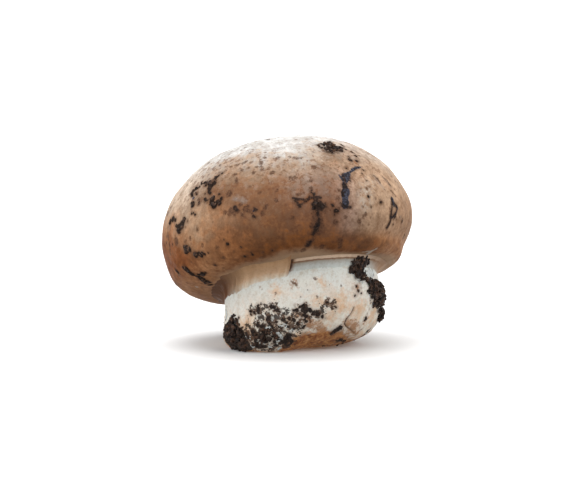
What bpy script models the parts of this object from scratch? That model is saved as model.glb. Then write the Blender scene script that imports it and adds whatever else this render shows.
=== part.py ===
"""A closed-cup brown button mushroom, as picked, with peat casing soil still on it.

The cap, the veil under its rim and the stem are three closed solids, and every clump of soil is one more.
All lengths in the tables are millimetres and all angles are degrees; MM turns them into Blender's metres.
The origin is in the flat of the stem's base that the mushroom rests on. +Z is up, and the side with most soil
on the cap faces -Y. Azimuths run anticlockwise seen from above: 0 is +X, 90 is +Y (the back), 270 is -Y (the front).
"""

import math

import bmesh
import bpy
import numpy as np
from mathutils import Vector

MM = 0.001

# ---------------------------------------------------------------- driving dimensions (mm and degrees)
CAP_PROFILE = [(0.0, 14.25), (5.5, 13.9), (10.5, 12.8), (15.0, 10.75), (18.8, 7.8), (21.9, 4.3), (24.1, -0.3),
               (25.0, -4.6), (24.4, -8.4), (22.6, -11.2), (20.2, -12.6), (18.2, -12.9)]   # radius, height
CAP_CENTRE = (-1.4, 4.2, 26.6)      # where the cap's own frame sits above the middle of the base
LEAN_LEFT = 8.0                     # the cap's axis leans this far to the left ...
LEAN_BACK = 15.0                    # ... and this far to the back
CAP_LEFT = {15: 0, 13: 1.2, 10: 1.45, 6: 1.2, 2: 1.0, -2: 0.72, -6: 0.6, -10: 0.7, -13: 0.5}     # fuller on the left
CAP_RIGHT = {15: 0, 13: 0.4, 10: 0.85, 6: 0.75, 2: 0.6, -2: 0.42, -6: -0.3, -10: -1.35, -13: 0.2}    # and on the right
RIM_DROP = {0: 0.5, 30: 0.9, 60: 1.1, 90: 1.8, 130: 2.9, 170: 2.1, 205: 0.9, 240: 0.1, 270: 0.0, 330: 0.1}   # the rim hangs lower at the back left
RIM_ROLL = {0: 0.0, 60: 0.4, 110: 1.8, 190: 2.2, 225: 1.0, 270: 0.0, 320: 0.0}   # and rolls further in under the left
CAP_WAVE = 0.22                     # height of the cap's slow undulation
CAP_WAVE_SIZE = 10.0

NECK_CENTRE = (1.5, 0.0)            # in the cap's frame
NECK_HEIGHT = -12.2
NECK_RADIUS = {0: 14.3, 90: 14.6, 180: 15.8, 270: 14.6}
BASE_CENTRE = (-0.6, -0.4)          # of the flat that the mushroom rests on
BASE_RADIUS = {0: 9.0, 45: 12.0, 90: 12.5, 135: 12.3, 180: 11.8, 215: 12.0, 245: 9.8, 270: 6.6, 290: 4.7, 315: 4.4, 340: 6.2}
FOOT_RADIUS = {0: 23.0, 45: 18.4, 90: 16.4, 135: 15.8, 180: 14.7, 225: 14.8, 260: 15.6, 290: 16.5, 330: 22.2}
FOOT_HEIGHT = {0: 2.2, 45: 0.6, 90: 0.0, 180: 0.0, 240: 0.1, 270: 1.2, 300: 2.7, 330: 2.3}
NECK_FLARE = {0: 0.3, 60: 1.6, 120: 0.8, 180: 0.4, 240: 1.0, 300: 2.2}
NECK_LENGTH = {0: 3.6, 90: 4.5, 180: 6.0, 270: 4.5}
STEM_WAVE = 0.30
STEM_WAVE_SIZE = 6.5

GAP = 0.3                           # clearance that touching pieces keep
SOCKET_TOP = -8.8                   # the stem's root ends below this height inside the cap
SOCKET_MOUTH = -11.4
ROOT_TAPER = 0.6                    # the root is this much slimmer at its top
UNDERSIDE_ARCH = 0.9                # hollow of the cap's underside between rim and stem
VEIL_DROP = {0: 1.0, 60: 1.6, 120: 2.0, 180: 2.8, 220: 4.0, 250: 4.0, 270: 3.2, 300: 1.5, 330: 1.0}   # how far it runs down the stem
VEIL_THICK = 0.6
VEIL_EDGE = 0.35
SOIL_EDGE = 0.16                    # thickness of a clump at its rim

CAP_SIDES, CAP_ROWS = 64, 23
STEM_SIDES, STEM_ROWS = 48, 17
SOIL_SIDES = 16

# Clumps of soil: (name, skin it lies on, azimuth, place along the skin from 0 to 1, width, height, turn, thickness, seed)
SOIL = [
    ("soil_cap_top", "cap", 300.0, 0.440, 5.4, 4.6, -20, 1.05, 1),
    ("soil_cap_top_right", "cap", 310.5, 0.515, 2.8, 2.6, 0, 0.70, 2),
    ("soil_cap_left_upper", "cap", 233.0, 0.549, 5.4, 4.8, 35, 0.80, 3),
    ("soil_cap_left_mid", "cap", 237.5, 0.648, 3.8, 2.6, 0, 0.65, 4),
    ("soil_cap_left_edge", "cap", 222.5, 0.598, 2.8, 4.6, 12, 0.55, 5),
    ("soil_cap_left_cluster", "cap", 211.0, 0.694, 6.2, 3.8, 0, 0.60, 6),
    ("soil_cap_left_spot", "cap", 217.5, 0.806, 1.8, 1.8, 0, 0.55, 7),
    ("soil_cap_left_low", "cap", 206.5, 0.880, 3.4, 1.7, 20, 0.55, 8),
    ("soil_cap_left_rim", "cap", 214.5, 0.937, 4.8, 2.0, 28, 0.65, 9),
    ("soil_cap_back", "cap", 96.0, 0.560, 4.4, 3.2, 30, 0.75, 10),
    ("soil_collar", "stem", 315.0, 0.243, 4.4, 3.6, 20, 1.25, 11),
    ("soil_right", "stem", 339.0, 0.398, 7.4, 5.0, 30, 1.25, 12),
    ("soil_right_tail", "stem", 354.0, 0.590, 3.2, 2.9, 0, 0.80, 13),
    ("soil_front_upper", "stem", 278.0, 0.478, 6.8, 3.4, 8, 0.95, 14),
    ("soil_front_middle", "stem", 268.5, 0.585, 3.2, 2.9, -30, 0.75, 15),
    ("soil_front_crumb_left", "stem", 236.0, 0.410, 3.0, 2.2, 0, 0.60, 16),
    ("soil_front_crumb_middle", "stem", 253.0, 0.432, 4.2, 2.0, 0, 0.60, 17),
    ("soil_base_left", "stem", 212.0, 0.610, 7.2, 5.6, 0, 1.20, 18),
    ("soil_base_front", "stem", 247.5, 0.668, 6.2, 3.6, 0, 1.05, 19),
    ("soil_base_back", "stem", 118.0, 0.560, 7.0, 3.6, 0, 1.20, 20),
]

# Colours of the pieces: base colour, roughness
CAP_COLOUR = ((0.40, 0.24, 0.14), 0.55)
VEIL_COLOUR = ((0.55, 0.40, 0.29), 0.65)
STEM_COLOUR = ((0.78, 0.75, 0.68), 0.62)
SOIL_COLOUR = ((0.035, 0.024, 0.018), 0.95)


# ---------------------------------------------------------------- helpers
def hash_noise(ix, iy, iz, seed):
    h = (ix * 374761393 + iy * 668265263 + iz * 2147483647 + seed * 1274126177) & 0xFFFFFFFF
    h = ((h ^ (h >> 13)) * 1103515245) & 0xFFFFFFFF
    h = ((h ^ (h >> 16)) * 1540483477) & 0xFFFFFFFF
    h = h ^ (h >> 15)
    return (h & 0xFFFFFF) / float(0xFFFFFF) * 2.0 - 1.0


def noise(p, size, seed=0):
    """Smooth noise from -1 to 1 at points p, with features of the given size."""
    q = np.asarray(p, float) / size + 100.0
    i = np.floor(q).astype(np.int64)
    f = q - i
    u = f * f * f * (f * (f * 6.0 - 15.0) + 10.0)
    total = 0.0
    for dx in (0, 1):
        for dy in (0, 1):
            for dz in (0, 1):
                w = ((u[..., 0] if dx else 1.0 - u[..., 0]) * (u[..., 1] if dy else 1.0 - u[..., 1])
                     * (u[..., 2] if dz else 1.0 - u[..., 2]))
                total = total + w * hash_noise(i[..., 0] + dx, i[..., 1] + dy, i[..., 2] + dz, seed)
    return total


def fractal(p, size, octaves=3, seed=0, gain=0.5):
    total, weight = 0.0, 1.0
    for k in range(octaves):
        total = total + weight * noise(p, size, seed + 17 * k)
        weight *= gain
        size *= 0.5
    return total


def hermite(x, keys, values, slopes):
    i = np.clip(np.searchsorted(keys, x, side="right") - 1, 0, len(keys) - 2)
    w = keys[i + 1] - keys[i]
    t = np.clip((x - keys[i]) / w, 0.0, 1.0)
    return ((2 * t ** 3 - 3 * t ** 2 + 1) * values[i] + (t ** 3 - 2 * t ** 2 + t) * slopes[i] * w
            + (-2 * t ** 3 + 3 * t ** 2) * values[i + 1] + (t ** 3 - t ** 2) * slopes[i + 1] * w)


def around(table, phi):
    """A smooth value around the axis from {degrees: value}."""
    k = sorted(table)
    keys = np.array([a - 360.0 for a in k] + k + [a + 360.0 for a in k])
    values = np.array([table[a] for a in k] * 3, float)
    return hermite(np.degrees(phi) % 360.0, keys, values, np.gradient(values, keys))


def along(table, x):
    """A smooth value along a line from {position: value}."""
    keys = np.array(sorted(table), float)
    values = np.array([table[k] for k in sorted(table)], float)
    return hermite(x, keys, values, np.gradient(values, keys))


def flowing(points, samples):
    """A smooth curve through the points, read at even steps of length."""
    P = np.asarray(points, float)
    Q = np.vstack([2 * P[0] - P[1], P, 2 * P[-1] - P[-2]])
    t = np.linspace(0.0, 1.0, 24, endpoint=False)[:, None]
    fine = [0.5 * (2 * b + (c - a) * t + (2 * a - 5 * b + 4 * c - d) * t * t + (3 * b - a - 3 * c + d) * t ** 3)
            for a, b, c, d in zip(Q[:-3], Q[1:-2], Q[2:-1], Q[3:])]
    fine = np.vstack(fine + [P[-1:]])
    run = np.concatenate([[0.0], np.cumsum(np.linalg.norm(np.diff(fine, axis=0), axis=1))])
    s = np.linspace(0.0, run[-1], samples)
    return np.stack([np.interp(s, run, fine[:, k]) for k in range(fine.shape[1])], 1), run[-1]


def smoothstep(a, b, x):
    t = np.clip((x - a) / (b - a), 0.0, 1.0)
    return t * t * (3.0 - 2.0 * t)


# ---------------------------------------------------------------- the mushroom's own shape
def lean_matrix():
    a, b = -math.radians(LEAN_LEFT), -math.radians(LEAN_BACK)
    turn_y = np.array([[math.cos(a), 0, math.sin(a)], [0, 1, 0], [-math.sin(a), 0, math.cos(a)]])
    turn_x = np.array([[1, 0, 0], [0, math.cos(b), -math.sin(b)], [0, math.sin(b), math.cos(b)]])
    return turn_x @ turn_y


LEAN = lean_matrix()
PROFILE, PROFILE_LENGTH = flowing(CAP_PROFILE, 400)
PROFILE_T = np.linspace(0.0, 1.0, 400)


def to_world(p):
    return p @ LEAN.T + np.array(CAP_CENTRE)


def to_cap(p):
    return (p - np.array(CAP_CENTRE)) @ LEAN


def cap_skin(phi, t):
    """The cap's outer skin in its own frame; t runs from 0 at the crown to 1 at the inner edge of the rim."""
    phi, t = np.broadcast_arrays(np.asarray(phi, float), np.asarray(t, float))
    rho = np.interp(t, PROFILE_T, PROFILE[:, 0])
    h = np.interp(t, PROFILE_T, PROFILE[:, 1])
    c, s = np.cos(phi), np.sin(phi)
    rho = rho + smoothstep(0.0, 9.0, rho) * (np.maximum(-c, 0) ** 1.3 * along(CAP_LEFT, h)
                                             + np.maximum(c, 0) ** 1.3 * along(CAP_RIGHT, h))
    low = np.clip((-2.0 - h) / 10.0, 0.0, 1.0) ** 1.5
    h = h - low * around(RIM_DROP, phi)
    rho = rho - smoothstep(0.86, 1.0, t) * around(RIM_ROLL, phi)
    p = np.stack([rho * c, rho * s, h], -1)
    out = p + np.array([0.0, 0.0, 6.0])
    out = out / np.linalg.norm(out, axis=-1, keepdims=True)
    return p + out * (CAP_WAVE * fractal(p, CAP_WAVE_SIZE, 2, 3))[..., None]


def neck_ring(phi, height, extra=0.0):
    """A ring around the neck in the cap's frame."""
    r = around(NECK_RADIUS, phi) + extra
    return np.stack([NECK_CENTRE[0] + r * np.cos(phi), NECK_CENTRE[1] + r * np.sin(phi), np.full_like(r, 1.0) * height], -1)


def stem_skin(phi, q):
    """The stem's side in world axes; q runs from 0 at the neck to 1 at the edge of the base."""
    phi, q = np.broadcast_arrays(np.asarray(phi, float), np.asarray(q, float))
    c, s = np.cos(phi), np.sin(phi)
    up, out = LEAN @ np.array([0.0, 0.0, 1.0]), np.stack([c, s, 0 * c], -1) @ LEAN.T
    p0 = to_world(neck_ring(phi, NECK_HEIGHT))
    p1 = p0 - up * around(NECK_LENGTH, phi)[..., None] + out * around(NECK_FLARE, phi)[..., None]
    r2, z2, rb = around(FOOT_RADIUS, phi), around(FOOT_HEIGHT, phi), around(BASE_RADIUS, phi)
    p2 = np.stack([BASE_CENTRE[0] + r2 * c, BASE_CENTRE[1] + r2 * s, z2], -1)
    p3 = np.stack([BASE_CENTRE[0] + rb * c, BASE_CENTRE[1] + rb * s, 0 * c], -1)
    w = q[..., None]
    p = (1 - w) ** 3 * p0 + 3 * (1 - w) ** 2 * w * p1 + 3 * (1 - w) * w * w * p2 + w ** 3 * p3
    away = np.stack([c, s, 0 * c], -1)
    fade = smoothstep(0.0, 0.15, q) * smoothstep(1.0, 0.86, q)
    return p + away * (STEM_WAVE * fade * fractal(p, STEM_WAVE_SIZE, 2, 11))[..., None]


# ---------------------------------------------------------------- pieces
def circle(sides):
    return np.arange(sides) * 2.0 * math.pi / sides


def rim_ring(phi):
    return cap_skin(phi, np.ones_like(phi))


def underside_ring(phi, share):
    """A ring of the cap's underside, share of the way from the rim's inner edge to the socket's mouth."""
    ring = rim_ring(phi) * (1.0 - share) + neck_ring(phi, SOCKET_MOUTH, GAP + 0.05) * share
    ring[:, 2] += UNDERSIDE_ARCH * math.sin(math.pi * share)
    return ring


def cap_rings():
    """Rings from the crown, over the rim, and up into the socket; the crown is one point."""
    phi = circle(CAP_SIDES)
    rings = [cap_skin(phi, np.full(CAP_SIDES, t)) for t in np.linspace(0.0, 1.0, CAP_ROWS)[1:]]
    rings += [underside_ring(phi, share) for share in (0.33, 0.67, 1.0)]
    rings += [neck_ring(phi, SOCKET_TOP, GAP + 0.05 - ROOT_TAPER)]
    crown = cap_skin(np.zeros(1), np.zeros(1))[0]
    return crown, rings


def stem_rings():
    """Rings from the root's top, out of the cap, down to the edge of the base, in world axes."""
    phi = circle(STEM_SIDES)
    rings = [to_world(neck_ring(phi, SOCKET_TOP - GAP, -ROOT_TAPER))]
    rings += [stem_skin(phi, np.full(STEM_SIDES, q)) for q in np.linspace(0.0, 1.0, STEM_ROWS)]
    return rings


def veil_rings():
    """A thin skirt in the cap's frame: down its outer face from the rim to the stem, then back up its inner face."""
    phi = circle(CAP_SIDES)
    top_out, top_in = underside_ring(phi, 0.10), underside_ring(phi, 0.30)
    top_out[:, 2] -= GAP + 0.10 + UNDERSIDE_ARCH * math.sin(math.pi * 0.10)
    top_in[:, 2] -= GAP + 0.10 + 0.3
    rows = np.linspace(0.0, 0.7, 120)
    low_out, low_in = np.empty_like(top_out), np.empty_like(top_in)
    for k, a in enumerate(phi):
        column = to_cap(stem_skin(np.full(len(rows), a), rows))
        target = top_out[k, 2] - around(VEIL_DROP, a)
        q = np.interp(-target, -column[:, 2], rows)
        point, normal = skin_frame("stem", a, q)[:2]
        low_in[k] = to_cap(point + normal * (GAP + 0.04))
        low_out[k] = to_cap(point + normal * (GAP + 0.04 + VEIL_EDGE))
    shares = (0.0, 0.25, 0.5, 0.75, 1.0)
    sag = 0.35
    outer = [top_out * (1 - w) + low_out * w for w in shares]
    inner = [top_in * (1 - w) + low_in * w for w in reversed(shares)]
    for w, ring in zip(shares, outer):
        ring[:, 2] += sag * math.sin(math.pi * w)
    for w, ring in zip(reversed(shares), inner):
        ring[:, 2] += sag * math.sin(math.pi * w)
    return outer + inner


def skin_point(skin, phi, v):
    return to_world(cap_skin(phi, v)) if skin == "cap" else stem_skin(phi, v)


def skin_frame(skin, phi, v):
    """Point, outward unit normal and the two lengths per unit of phi and v of a skin."""
    step = 1e-3
    point = skin_point(skin, phi, v)
    d_phi = (skin_point(skin, phi + step, v) - skin_point(skin, phi - step, v)) / (2 * step)
    d_v = (skin_point(skin, phi, v + step) - skin_point(skin, phi, v - step)) / (2 * step)
    normal = np.cross(d_v, d_phi)
    normal = normal / np.linalg.norm(normal, axis=-1, keepdims=True)
    return point, normal, np.linalg.norm(d_phi, axis=-1), np.linalg.norm(d_v, axis=-1)


def soil_rings(skin, azimuth, v, width, height, turn, thickness, seed):
    """Rings of one clump: out over its back from the middle to its rim, then in under it. It follows the skin, GAP off it."""
    phi0 = math.radians(azimuth)
    _, _, reach_phi, reach_v = skin_frame(skin, phi0, v)
    a = circle(SOIL_SIDES)
    lobes = 1.0 + 0.26 * fractal(np.stack([np.cos(a), np.sin(a), 0 * a], -1), 0.8, 2, seed)
    turn = math.radians(turn)

    def ring(r, lift):
        x, y = 0.5 * width * r * lobes * np.cos(a), 0.5 * height * r * lobes * np.sin(a)
        x, y = x * math.cos(turn) - y * math.sin(turn), x * math.sin(turn) + y * math.cos(turn)
        point, normal, _, _ = skin_frame(skin, phi0 + x / reach_phi, v + y / reach_v)
        raised = lift * (0.8 + 0.35 * noise(point, 1.6, seed + 40))
        raised = raised * smoothstep(0.2, 2.6, point[:, 2])
        moved = point + normal * (GAP + raised + (SOIL_EDGE if lift > 0 or r > 0.99 and lift == 0.0 else 0.0))[:, None]
        return point, normal, moved

    back = [ring(r, thickness * (1.0 - r ** 2.4) ** 0.6)[2] for r in (0.36, 0.68, 0.9)]
    back.append(ring(1.0, 0.0)[2])
    rim_point, rim_normal, _ = ring(1.0, 0.0)
    mid_point, mid_normal, _ = ring(0.55, 0.0)
    under = [rim_point + rim_normal * GAP, mid_point + mid_normal * GAP]
    point, normal, _, _ = skin_frame(skin, phi0, v)
    return point + normal * (GAP + SOIL_EDGE + thickness), back + under, point + normal * GAP


# ---------------------------------------------------------------- meshes and objects
def add_ring(bm, points):
    return [bm.verts.new(Vector([float(x) * MM for x in p])) for p in points]


def bridge(bm, upper, lower):
    n = len(upper)
    for k in range(n):
        bm.faces.new((upper[k], lower[k], lower[(k + 1) % n], upper[(k + 1) % n]))


def fan(bm, tip, ring):
    """Closes a ring to a point; the ring runs anticlockwise seen from the tip's side."""
    n = len(ring)
    for k in range(n):
        bm.faces.new((tip, ring[k], ring[(k + 1) % n]))


def make_object(name, bm, material, parent, location=(0.0, 0.0, 0.0), rotation=(0.0, 0.0, 0.0)):
    bmesh.ops.recalc_face_normals(bm, faces=bm.faces)
    mesh = bpy.data.meshes.new(name)
    bm.to_mesh(mesh)
    bm.free()
    mesh.shade_smooth()
    mesh.set_sharp_from_angle(angle=math.radians(50))
    mesh.materials.append(material)
    obj = bpy.data.objects.new(name, mesh)
    bpy.context.scene.collection.objects.link(obj)
    obj.rotation_mode = "YXZ"
    obj.location = location
    obj.rotation_euler = rotation
    obj.parent = parent
    return obj


def make_material(name, colour, roughness):
    material = bpy.data.materials.new(name)
    material.use_nodes = True
    shader = material.node_tree.nodes["Principled BSDF"]
    shader.inputs["Base Color"].default_value = (*colour, 1.0)
    shader.inputs["Roughness"].default_value = roughness
    shader.inputs["Metallic"].default_value = 0.0
    return material


def build_cap(parent):
    bm = bmesh.new()
    crown, rings = cap_rings()
    rings = [add_ring(bm, r) for r in rings]
    fan(bm, bm.verts.new(Vector([float(x) * MM for x in crown])), rings[0])
    for upper, lower in zip(rings, rings[1:]):
        bridge(bm, upper, lower)
    bm.faces.new(list(reversed(rings[-1])))
    return make_object("cap", bm, make_material("cap_skin", *CAP_COLOUR), parent, [c * MM for c in CAP_CENTRE],
                       (-math.radians(LEAN_BACK), -math.radians(LEAN_LEFT), 0.0))


def build_veil(parent):
    bm = bmesh.new()
    rings = [add_ring(bm, r) for r in veil_rings()]
    for upper, lower in zip(rings, rings[1:] + rings[:1]):
        bridge(bm, upper, lower)
    return make_object("veil", bm, make_material("veil", *VEIL_COLOUR), parent, [c * MM for c in CAP_CENTRE],
                       (-math.radians(LEAN_BACK), -math.radians(LEAN_LEFT), 0.0))


def build_stem(parent):
    bm = bmesh.new()
    rings = [add_ring(bm, r) for r in stem_rings()]
    bm.faces.new(rings[0])
    for upper, lower in zip(rings, rings[1:]):
        bridge(bm, upper, lower)
    bm.faces.new(list(reversed(rings[-1])))
    return make_object("stem", bm, make_material("stem_flesh", *STEM_COLOUR), parent)


def build_soil(parent):
    material = make_material("soil", *SOIL_COLOUR)
    for name, skin, azimuth, v, width, height, turn, thickness, seed in SOIL:
        top, rings, bottom = soil_rings(skin, azimuth, v, width, height, turn, thickness, seed)
        bm = bmesh.new()
        loops = [add_ring(bm, r - bottom) for r in rings]
        fan(bm, bm.verts.new(Vector([float(x) * MM for x in top - bottom])), loops[0])
        for upper, lower in zip(loops, loops[1:]):
            bridge(bm, upper, lower)
        tip = bm.verts.new(Vector((0.0, 0.0, 0.0)))
        fan(bm, tip, list(reversed(loops[-1])))
        make_object(name, bm, material, parent, [float(x) * MM for x in bottom])


def main():
    for obj in list(bpy.data.objects):
        bpy.data.objects.remove(obj, do_unlink=True)
    mushroom = bpy.data.objects.new("mushroom", None)
    bpy.context.scene.collection.objects.link(mushroom)
    build_cap(mushroom)
    build_veil(mushroom)
    build_stem(mushroom)
    build_soil(mushroom)


main()
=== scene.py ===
"""The looks of the brown button mushroom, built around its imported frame.

Lengths in the shape functions are millimetres and angles are degrees; meshes are scaled to metres when they are made.
Marks are given on the front elevation: u to the right and v up, in mm, on the plane through the middle of the view,
with the half width of the mark. seen() carries such a point along the line of sight on to the skin.
"""

import math

import bmesh
import bpy
import numpy as np
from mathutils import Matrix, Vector
from mathutils.bvhtree import BVHTree


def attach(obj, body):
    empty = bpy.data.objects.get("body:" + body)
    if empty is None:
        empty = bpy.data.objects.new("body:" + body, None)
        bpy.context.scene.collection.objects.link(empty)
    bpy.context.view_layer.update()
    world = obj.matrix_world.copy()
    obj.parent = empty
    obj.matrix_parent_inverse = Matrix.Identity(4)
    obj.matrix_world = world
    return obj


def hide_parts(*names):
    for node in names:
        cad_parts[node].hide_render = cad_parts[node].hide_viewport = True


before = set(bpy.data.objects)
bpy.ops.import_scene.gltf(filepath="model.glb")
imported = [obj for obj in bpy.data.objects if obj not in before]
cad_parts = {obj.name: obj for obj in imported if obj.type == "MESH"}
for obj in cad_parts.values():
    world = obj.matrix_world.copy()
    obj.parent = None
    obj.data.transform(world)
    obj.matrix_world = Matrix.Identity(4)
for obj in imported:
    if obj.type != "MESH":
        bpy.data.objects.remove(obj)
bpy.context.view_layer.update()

MM = 0.001

# ---------------------------------------------------------------- the mushroom's dimensions (as the CAD has them)
CAP_PROFILE = [(0.0, 14.25), (5.5, 13.9), (10.5, 12.8), (15.0, 10.75), (18.8, 7.8), (21.9, 4.3), (24.1, -0.3),
               (25.0, -4.6), (24.4, -8.4), (22.6, -11.2), (20.2, -12.6), (18.2, -12.9)]   # radius, height
CAP_CENTRE = (-1.4, 4.2, 26.6)      # where the cap's own frame sits above the middle of the base
LEAN_LEFT = 8.0                     # the cap's axis leans this far to the left ...
LEAN_BACK = 15.0                    # ... and this far to the back
CAP_LEFT = {15: 0, 13: 1.2, 10: 1.45, 6: 1.2, 2: 1.0, -2: 0.72, -6: 0.6, -10: 0.7, -13: 0.5}     # fuller on the left
CAP_RIGHT = {15: 0, 13: 0.4, 10: 0.85, 6: 0.75, 2: 0.6, -2: 0.42, -6: -0.3, -10: -1.35, -13: 0.2}    # and on the right
RIM_DROP = {0: 0.5, 30: 0.9, 60: 1.1, 90: 1.8, 130: 2.9, 170: 2.1, 205: 0.9, 240: 0.1, 270: 0.0, 330: 0.1}   # the rim hangs lower at the back left
RIM_ROLL = {0: 0.0, 60: 0.4, 110: 1.8, 190: 2.2, 225: 1.0, 270: 0.0, 320: 0.0}   # and rolls further in under the left
CAP_WAVE = 0.22                     # height of the cap's slow undulation
CAP_WAVE_SIZE = 10.0

NECK_CENTRE = (1.5, 0.0)            # in the cap's frame
NECK_HEIGHT = -12.2
NECK_RADIUS = {0: 14.3, 90: 14.6, 180: 15.8, 270: 14.6}
BASE_CENTRE = (-0.6, -0.4)          # of the flat that the mushroom rests on
BASE_RADIUS = {0: 9.0, 45: 12.0, 90: 12.5, 135: 12.3, 180: 11.8, 215: 12.0, 245: 9.8, 270: 6.6, 290: 4.7, 315: 4.4, 340: 6.2}
FOOT_RADIUS = {0: 23.0, 45: 18.4, 90: 16.4, 135: 15.8, 180: 14.7, 225: 14.8, 260: 15.6, 290: 16.5, 330: 22.2}
FOOT_HEIGHT = {0: 2.2, 45: 0.6, 90: 0.0, 180: 0.0, 240: 0.1, 270: 1.2, 300: 2.7, 330: 2.3}
NECK_FLARE = {0: 0.3, 60: 1.6, 120: 0.8, 180: 0.4, 240: 1.0, 300: 2.2}
NECK_LENGTH = {0: 3.6, 90: 4.5, 180: 6.0, 270: 4.5}
STEM_WAVE = 0.30
STEM_WAVE_SIZE = 6.5

GAP = 0.3                           # clearance that touching pieces keep
SOCKET_TOP = -8.8                   # the stem's root ends below this height inside the cap
SOCKET_MOUTH = -11.4
ROOT_TAPER = 0.6                    # the root is this much slimmer at its top
UNDERSIDE_ARCH = 0.9                # hollow of the cap's underside between rim and stem
VEIL_DROP = {0: 1.0, 60: 1.6, 120: 2.0, 180: 2.8, 220: 4.0, 250: 4.0, 270: 3.2, 300: 1.5, 330: 1.0}   # how far it runs down the stem
VEIL_THICK = 0.6
VEIL_EDGE = 0.35
SOIL_EDGE = 0.16                    # thickness of a clump at its rim

# Clumps of soil: (name, skin it lies on, azimuth, place along the skin from 0 to 1, width, height, turn, thickness, seed)
SOIL = [
    ("soil_cap_top", "cap", 300.0, 0.440, 5.4, 4.6, -20, 1.05, 1),
    ("soil_cap_top_right", "cap", 310.5, 0.515, 2.8, 2.6, 0, 0.70, 2),
    ("soil_cap_left_upper", "cap", 233.0, 0.549, 5.4, 4.8, 35, 0.80, 3),
    ("soil_cap_left_mid", "cap", 237.5, 0.648, 3.8, 2.6, 0, 0.65, 4),
    ("soil_cap_left_edge", "cap", 222.5, 0.598, 2.8, 4.6, 12, 0.55, 5),
    ("soil_cap_left_cluster", "cap", 211.0, 0.694, 6.2, 3.8, 0, 0.60, 6),
    ("soil_cap_left_spot", "cap", 217.5, 0.806, 1.8, 1.8, 0, 0.55, 7),
    ("soil_cap_left_low", "cap", 206.5, 0.880, 3.4, 1.7, 20, 0.55, 8),
    ("soil_cap_left_rim", "cap", 214.5, 0.937, 4.8, 2.0, 28, 0.65, 9),
    ("soil_cap_back", "cap", 96.0, 0.560, 4.4, 3.2, 30, 0.75, 10),
    ("soil_collar", "stem", 315.0, 0.243, 4.4, 3.6, 20, 1.25, 11),
    ("soil_right", "stem", 339.0, 0.398, 7.4, 5.0, 30, 1.25, 12),
    ("soil_right_tail", "stem", 354.0, 0.590, 3.2, 2.9, 0, 0.80, 13),
    ("soil_front_upper", "stem", 278.0, 0.478, 6.8, 3.4, 8, 0.95, 14),
    ("soil_front_middle", "stem", 268.5, 0.585, 3.2, 2.9, -30, 0.75, 15),
    ("soil_front_crumb_left", "stem", 236.0, 0.410, 3.0, 2.2, 0, 0.60, 16),
    ("soil_front_crumb_middle", "stem", 253.0, 0.432, 4.2, 2.0, 0, 0.60, 17),
    ("soil_base_left", "stem", 212.0, 0.610, 7.2, 5.6, 0, 1.20, 18),
    ("soil_base_front", "stem", 247.5, 0.668, 6.2, 3.6, 0, 1.05, 19),
    ("soil_base_back", "stem", 118.0, 0.560, 7.0, 3.6, 0, 1.20, 20),
]

# ---------------------------------------------------------------- view and light
VIEW_TARGET = (0.0, 0.0, 19.2)
VIEW_DISTANCE = 325.56
VIEW_ELEVATION = 5.0
LENS = 100.0
SKY, GROUND = 0.66, 0.42            # soft light from above the horizon and from below it
FRONT_DIM = 0.66                    # the side that the camera stands on is dimmer
SOFTBOX = ((-40.0, 90.0, 620.0), 560.0, 4.6)        # place, side, watts
FILL_LEFT = ((-430.0, -320.0, 200.0), 420.0, 1.80)
FILL_RIGHT = ((440.0, -280.0, 240.0), 420.0, 1.60)

# ---------------------------------------------------------------- mesh sizes
CAP_COLUMNS, CAP_SKIN_ROWS = 440, 198
STEM_COLUMNS, STEM_SKIN_ROWS = 500, 130
VEIL_COLUMNS, VEIL_OUTER_ROWS = 720, 34
STEM_SLANT = {0: 0.1, 90: 0.2, 180: 0.6, 212: 1.1, 245: 1.2, 268: 0.6, 290: 0.1, 330: 0.0}     # how far the stem's fibres lean, in radians
FRONT_SHARE = 0.5                   # how much denser the columns are at the front than at the sides

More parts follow.
